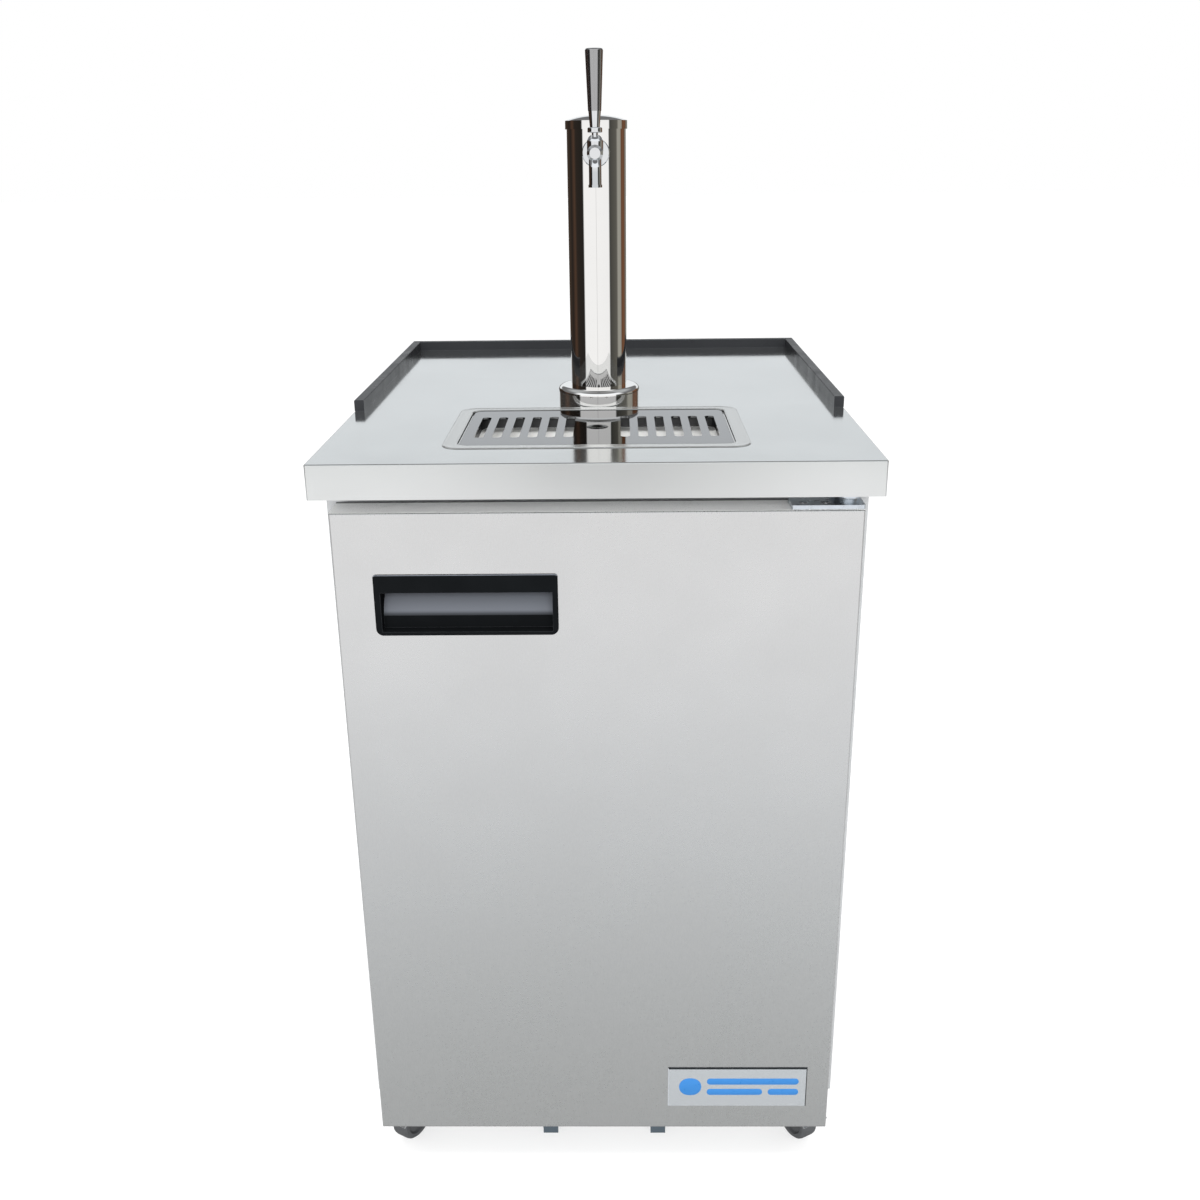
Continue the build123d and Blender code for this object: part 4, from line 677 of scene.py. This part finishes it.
def hex_nut(mesh, centre, axis, across, thick, bore):
    """Hexagon nut with chamfered outer corners, about a level axis."""
    side = axis.cross(Vector((0, 0, 1))).normalized()
    up = Vector((0, 0, 1))
    loops = []
    sections = ((bore, 0.0, False), (across / 2, 0.0, True), (across / 2, 0.8, True),
                (across / 2 * 0.9, 1.0, False), (bore, 1.0, False))
    for radius, share, hexagon in sections:
        loop = []
        for step in range(NUT_STEPS):
            turn = 2 * pi * step / NUT_STEPS
            flat = radius / cos((turn + pi / 6) % (pi / 3) - pi / 6) if hexagon else radius
            offset = side * (flat * cos(turn)) + up * (flat * sin(turn))
            loop.append(mesh.verts.new(centre + offset + axis * (thick * share)))
        loops.append(loop)
    join_loops(mesh, loops, closed_stack=True)


def castor_axle(name):
    """Centre of a castor's wheel and the unit vector along its axle."""
    low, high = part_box(f"castor_wheel_{name}")
    joint = next(item for item in frame["joints"] if item["name"] == f"wheel_roll_{name}")
    return (low + high) / 2, Vector(joint["axis"]).normalized()


def axle_nuts():
    """A nut at each end of every wheel's axle."""
    for name in ("front_left", "front_right", "rear_left", "rear_right"):
        centre, axis = castor_axle(name)
        mesh = bmesh.new()
        for side in (-1, 1):
            place = centre + axis * (side * NUT_PLACE)
            hex_nut(mesh, place, axis * side, NUT_ACROSS, NUT_THICK, NUT_BORE)
        finish_mesh(f"axle_nuts_{name}", mesh, MATERIALS["screw_steel"], f"castor_{name}")


# ------------------------------------------------------------------------ stage
CAMERA_AT = (0.0235, -1.6224, 1.2486)
CAMERA_YAW, CAMERA_PITCH, CAMERA_ROLL = -0.0161, 0.3526, -0.0116
CAMERA_LENS, SENSOR = 37.41, 36.0
WHITE, BLACK = (1.0, 1.0, 1.0), (0.0, 0.0, 0.0)
FLOOR_HALF, FLOOR_GLOW = 30.0, 0.5
PAPER_TONES = ((0.50, 0.50, 0.50), (0.52, 0.52, 0.52))


def add_camera():
    """Camera in front of the cooler at the height of its tap, looking down at it."""
    data = bpy.data.cameras.new("photo_camera")
    data.lens = CAMERA_LENS
    data.sensor_width = SENSOR
    camera = bpy.data.objects.new("photo_camera", data)
    scene.collection.objects.link(camera)
    camera.location = CAMERA_AT
    forward = Vector((sin(CAMERA_YAW) * cos(CAMERA_PITCH), cos(CAMERA_YAW) * cos(CAMERA_PITCH),
                      -sin(CAMERA_PITCH)))
    level = forward.to_track_quat("-Z", "Y")
    camera.rotation_euler = (level @ Quaternion((0, 0, 1), CAMERA_ROLL)).to_euler()
    scene.camera = camera


def add_floor():
    """White paper that glows a little, so that shadows on it stay faint."""
    mesh = bmesh.new()
    corners = [(-FLOOR_HALF, -FLOOR_HALF, 0), (FLOOR_HALF, -FLOOR_HALF, 0),
               (FLOOR_HALF, FLOOR_HALF, 0), (-FLOOR_HALF, FLOOR_HALF, 0)]
    mesh.faces.new([mesh.verts.new(corner) for corner in corners])
    data = bpy.data.meshes.new("studio_floor")
    mesh.to_mesh(data)
    mesh.free()
    floor = bpy.data.objects.new("studio_floor", data)
    scene.collection.objects.link(floor)
    paper = Surface("paper_look", PAPER_TONES[0], 0.9, emission_color=WHITE, emission_strength=FLOOR_GLOW)
    paper.color(paper.mix(paper.noise(3.0), *PAPER_TONES))
    data.materials.append(paper.material)
    floor.visible_glossy = False


FLAGS = [                       # what polished metal sees at eye level, by direction in degrees
    (-180, (0.05, 0.036, 0.026)), (-150, (0.05, 0.034, 0.024)), (-118, (0.022, 0.017, 0.014)),
    (-100, (0.075, 0.042, 0.027)), (-88, (0.026, 0.020, 0.016)), (-56, (0.018, 0.016, 0.014)),
    (-52, (0.95, 0.95, 0.95)), (-3.4, (0.95, 0.95, 0.95)), (-2.5, (0.42, 0.42, 0.42)),
    (-1.6, (0.95, 0.95, 0.95)), (48, (0.93, 0.93, 0.93)), (51, (0.055, 0.055, 0.05)),
    (60, (0.075, 0.073, 0.064)), (84, (0.11, 0.105, 0.09)), (92, (0.34, 0.33, 0.29)),
    (108, (0.31, 0.30, 0.26)), (113, (0.13, 0.06, 0.032)), (128, (0.17, 0.078, 0.042)),
    (140, (0.11, 0.055, 0.033)), (146, (0.22, 0.21, 0.18)), (180, (0.18, 0.17, 0.15)),
]
FLAG_TOP, FLAG_BOTTOM = 17.0, -13.0
BEHIND = (140.0, 156.0)         # over these bearings the flags' top comes down to BEHIND_TOP
BEHIND_TOP = 4.0
FRONT_EDGE, FRONT_FADE = 60.0, 25.0   # half-width of the bright front sector, and its soft edge
FRONT_FALL = [                  # brightness of the front sector by elevation in degrees
    (-90, (0.32, 0.32, 0.32)), (-45, (0.40, 0.405, 0.40)), (-38, (0.50, 0.52, 0.52)),
    (-30, (0.76, 0.79, 0.82)), (-24, (1.00, 1.01, 1.03)), (-17, (1.15, 1.13, 1.14)),
    (-13, (1.10, 1.10, 1.11)), (-10, (1.05, 1.06, 1.08)), (46, (1.0, 1.03, 1.06)),
    (50, (0.16, 0.16, 0.165)), (90, (0.25, 0.25, 0.25)),
]
AROUND_FALL = [                 # brightness of the rest by elevation in degrees
    (-90, (0.45, 0.45, 0.45)), (-12, (0.62, 0.63, 0.64)), (4, (0.85, 0.88, 0.905)),
    (15, (0.85, 0.88, 0.905)), (18, (0.16, 0.16, 0.165)), (32, (0.17, 0.17, 0.175)),
    (48, (0.45, 0.47, 0.48)), (90, (0.3, 0.3, 0.3)),
]
BAND_HEIGHTS = (-17.0, -15.5, -12.5, -11.0)   # a darker band low in front: fades in, then out
BAND_WIDTH, BAND_STRENGTH = 10.0, 0.33
PAPER_LIGHT = (1.2, 1.2, 1.2)   # what matt surfaces are lit by from all round


def by_bearing(graph, bearing, stops):
    """Colour of the world by direction round the cooler, -180 to 180 degrees."""
    turn = graph.span(bearing, (-180, 180), (0, 1))
    return graph.ramp(turn, [((angle + 180) / 360, color) for angle, color in stops])


def by_elevation(graph, height, stops):
    """Colour of the world by elevation, -90 to 90 degrees."""
    tilt = graph.span(height, (-90, 90), (0, 1))
    return graph.ramp(tilt, [((angle + 90) / 180, color) for angle, color in stops])


def flag_area(graph, wide, height):
    """1 where the flags stand, 0 above and below them."""
    below = graph.span(height, (FLAG_BOTTOM - 2, FLAG_BOTTOM + 1), (0, 1), smooth=True)
    limit = graph.span(wide, BEHIND, (FLAG_TOP, BEHIND_TOP))
    above = graph.span(graph.math("SUBTRACT", height, limit), (-2, 2), (1, 0), smooth=True)
    return graph.math("MULTIPLY", below, above)


def front_band(graph, wide, height):
    """Strength of the darker band low in front."""
    band = graph.math("MULTIPLY", graph.span(height, BAND_HEIGHTS[:2], (0, 1)),
                      graph.span(height, BAND_HEIGHTS[2:], (1, 0)))
    return graph.math("MULTIPLY", band, graph.span(wide, (0, BAND_WIDTH), (BAND_STRENGTH, 0)))


def studio_world():
    """White studio for the eye; for polished metal, a bright front and darker sides."""
    world = bpy.data.worlds.new("studio")
    scene.world = world
    world.use_nodes = True
    graph = Graph(world.node_tree)
    direction = graph.nodes.new("ShaderNodeTexCoord").outputs["Generated"]
    x, y, z = graph.separate(direction)
    bearing = graph.math("MULTIPLY", graph.math("ARCTAN2", x, graph.math("MULTIPLY", y, -1.0)), 180 / pi)
    height = graph.math("MULTIPLY", graph.math("ARCSINE", z), 180 / pi)
    wide = graph.math("ABSOLUTE", bearing)
    side = graph.span(wide, (FRONT_EDGE, FRONT_EDGE + FRONT_FADE), (0, 1), smooth=True)
    lit = graph.mix(side, by_elevation(graph, height, FRONT_FALL), by_elevation(graph, height, AROUND_FALL))
    seen = graph.mix(flag_area(graph, wide, height), lit, by_bearing(graph, bearing, FLAGS))
    seen = graph.mix(front_band(graph, wide, height), seen, BLACK)
    path = graph.nodes.new("ShaderNodeLightPath").outputs
    soft = graph.mix(path["Is Diffuse Ray"], seen, PAPER_LIGHT)
    final = graph.mix(path["Is Camera Ray"], soft, WHITE)
    graph.put(graph.nodes["Background"].inputs["Color"], final)


def add_softbox(name, place, target, size, power):
    """Light for matt surfaces only; what polished metal mirrors is all in the world."""
    data = bpy.data.lights.new(name, "AREA")
    data.shape = "RECTANGLE"
    data.size, data.size_y = size
    data.energy = power
    light = bpy.data.objects.new(name, data)
    scene.collection.objects.link(light)
    light.visible_glossy = False
    light.location = place
    light.rotation_euler = (Vector(target) - Vector(place)).to_track_quat("-Z", "Y").to_euler()


# ------------------------------------------------------------------------ build
dress_cad_nodes()
door_gasket()
drip_tray()
rear_louvres()
badge_bars()
axle_nuts()

studio_world()
add_floor()
add_softbox("overhead_softbox", (0.0, -1.0, 2.9), (0.0, -0.1, 0.8), (1.8, 1.0), 55.0)
add_softbox("front_softbox", (0.0, -3.0, 1.5), (0.0, -0.3, 0.8), (2.2, 1.4), 90.0)
add_camera()
scene.view_settings.view_transform = "Standard"
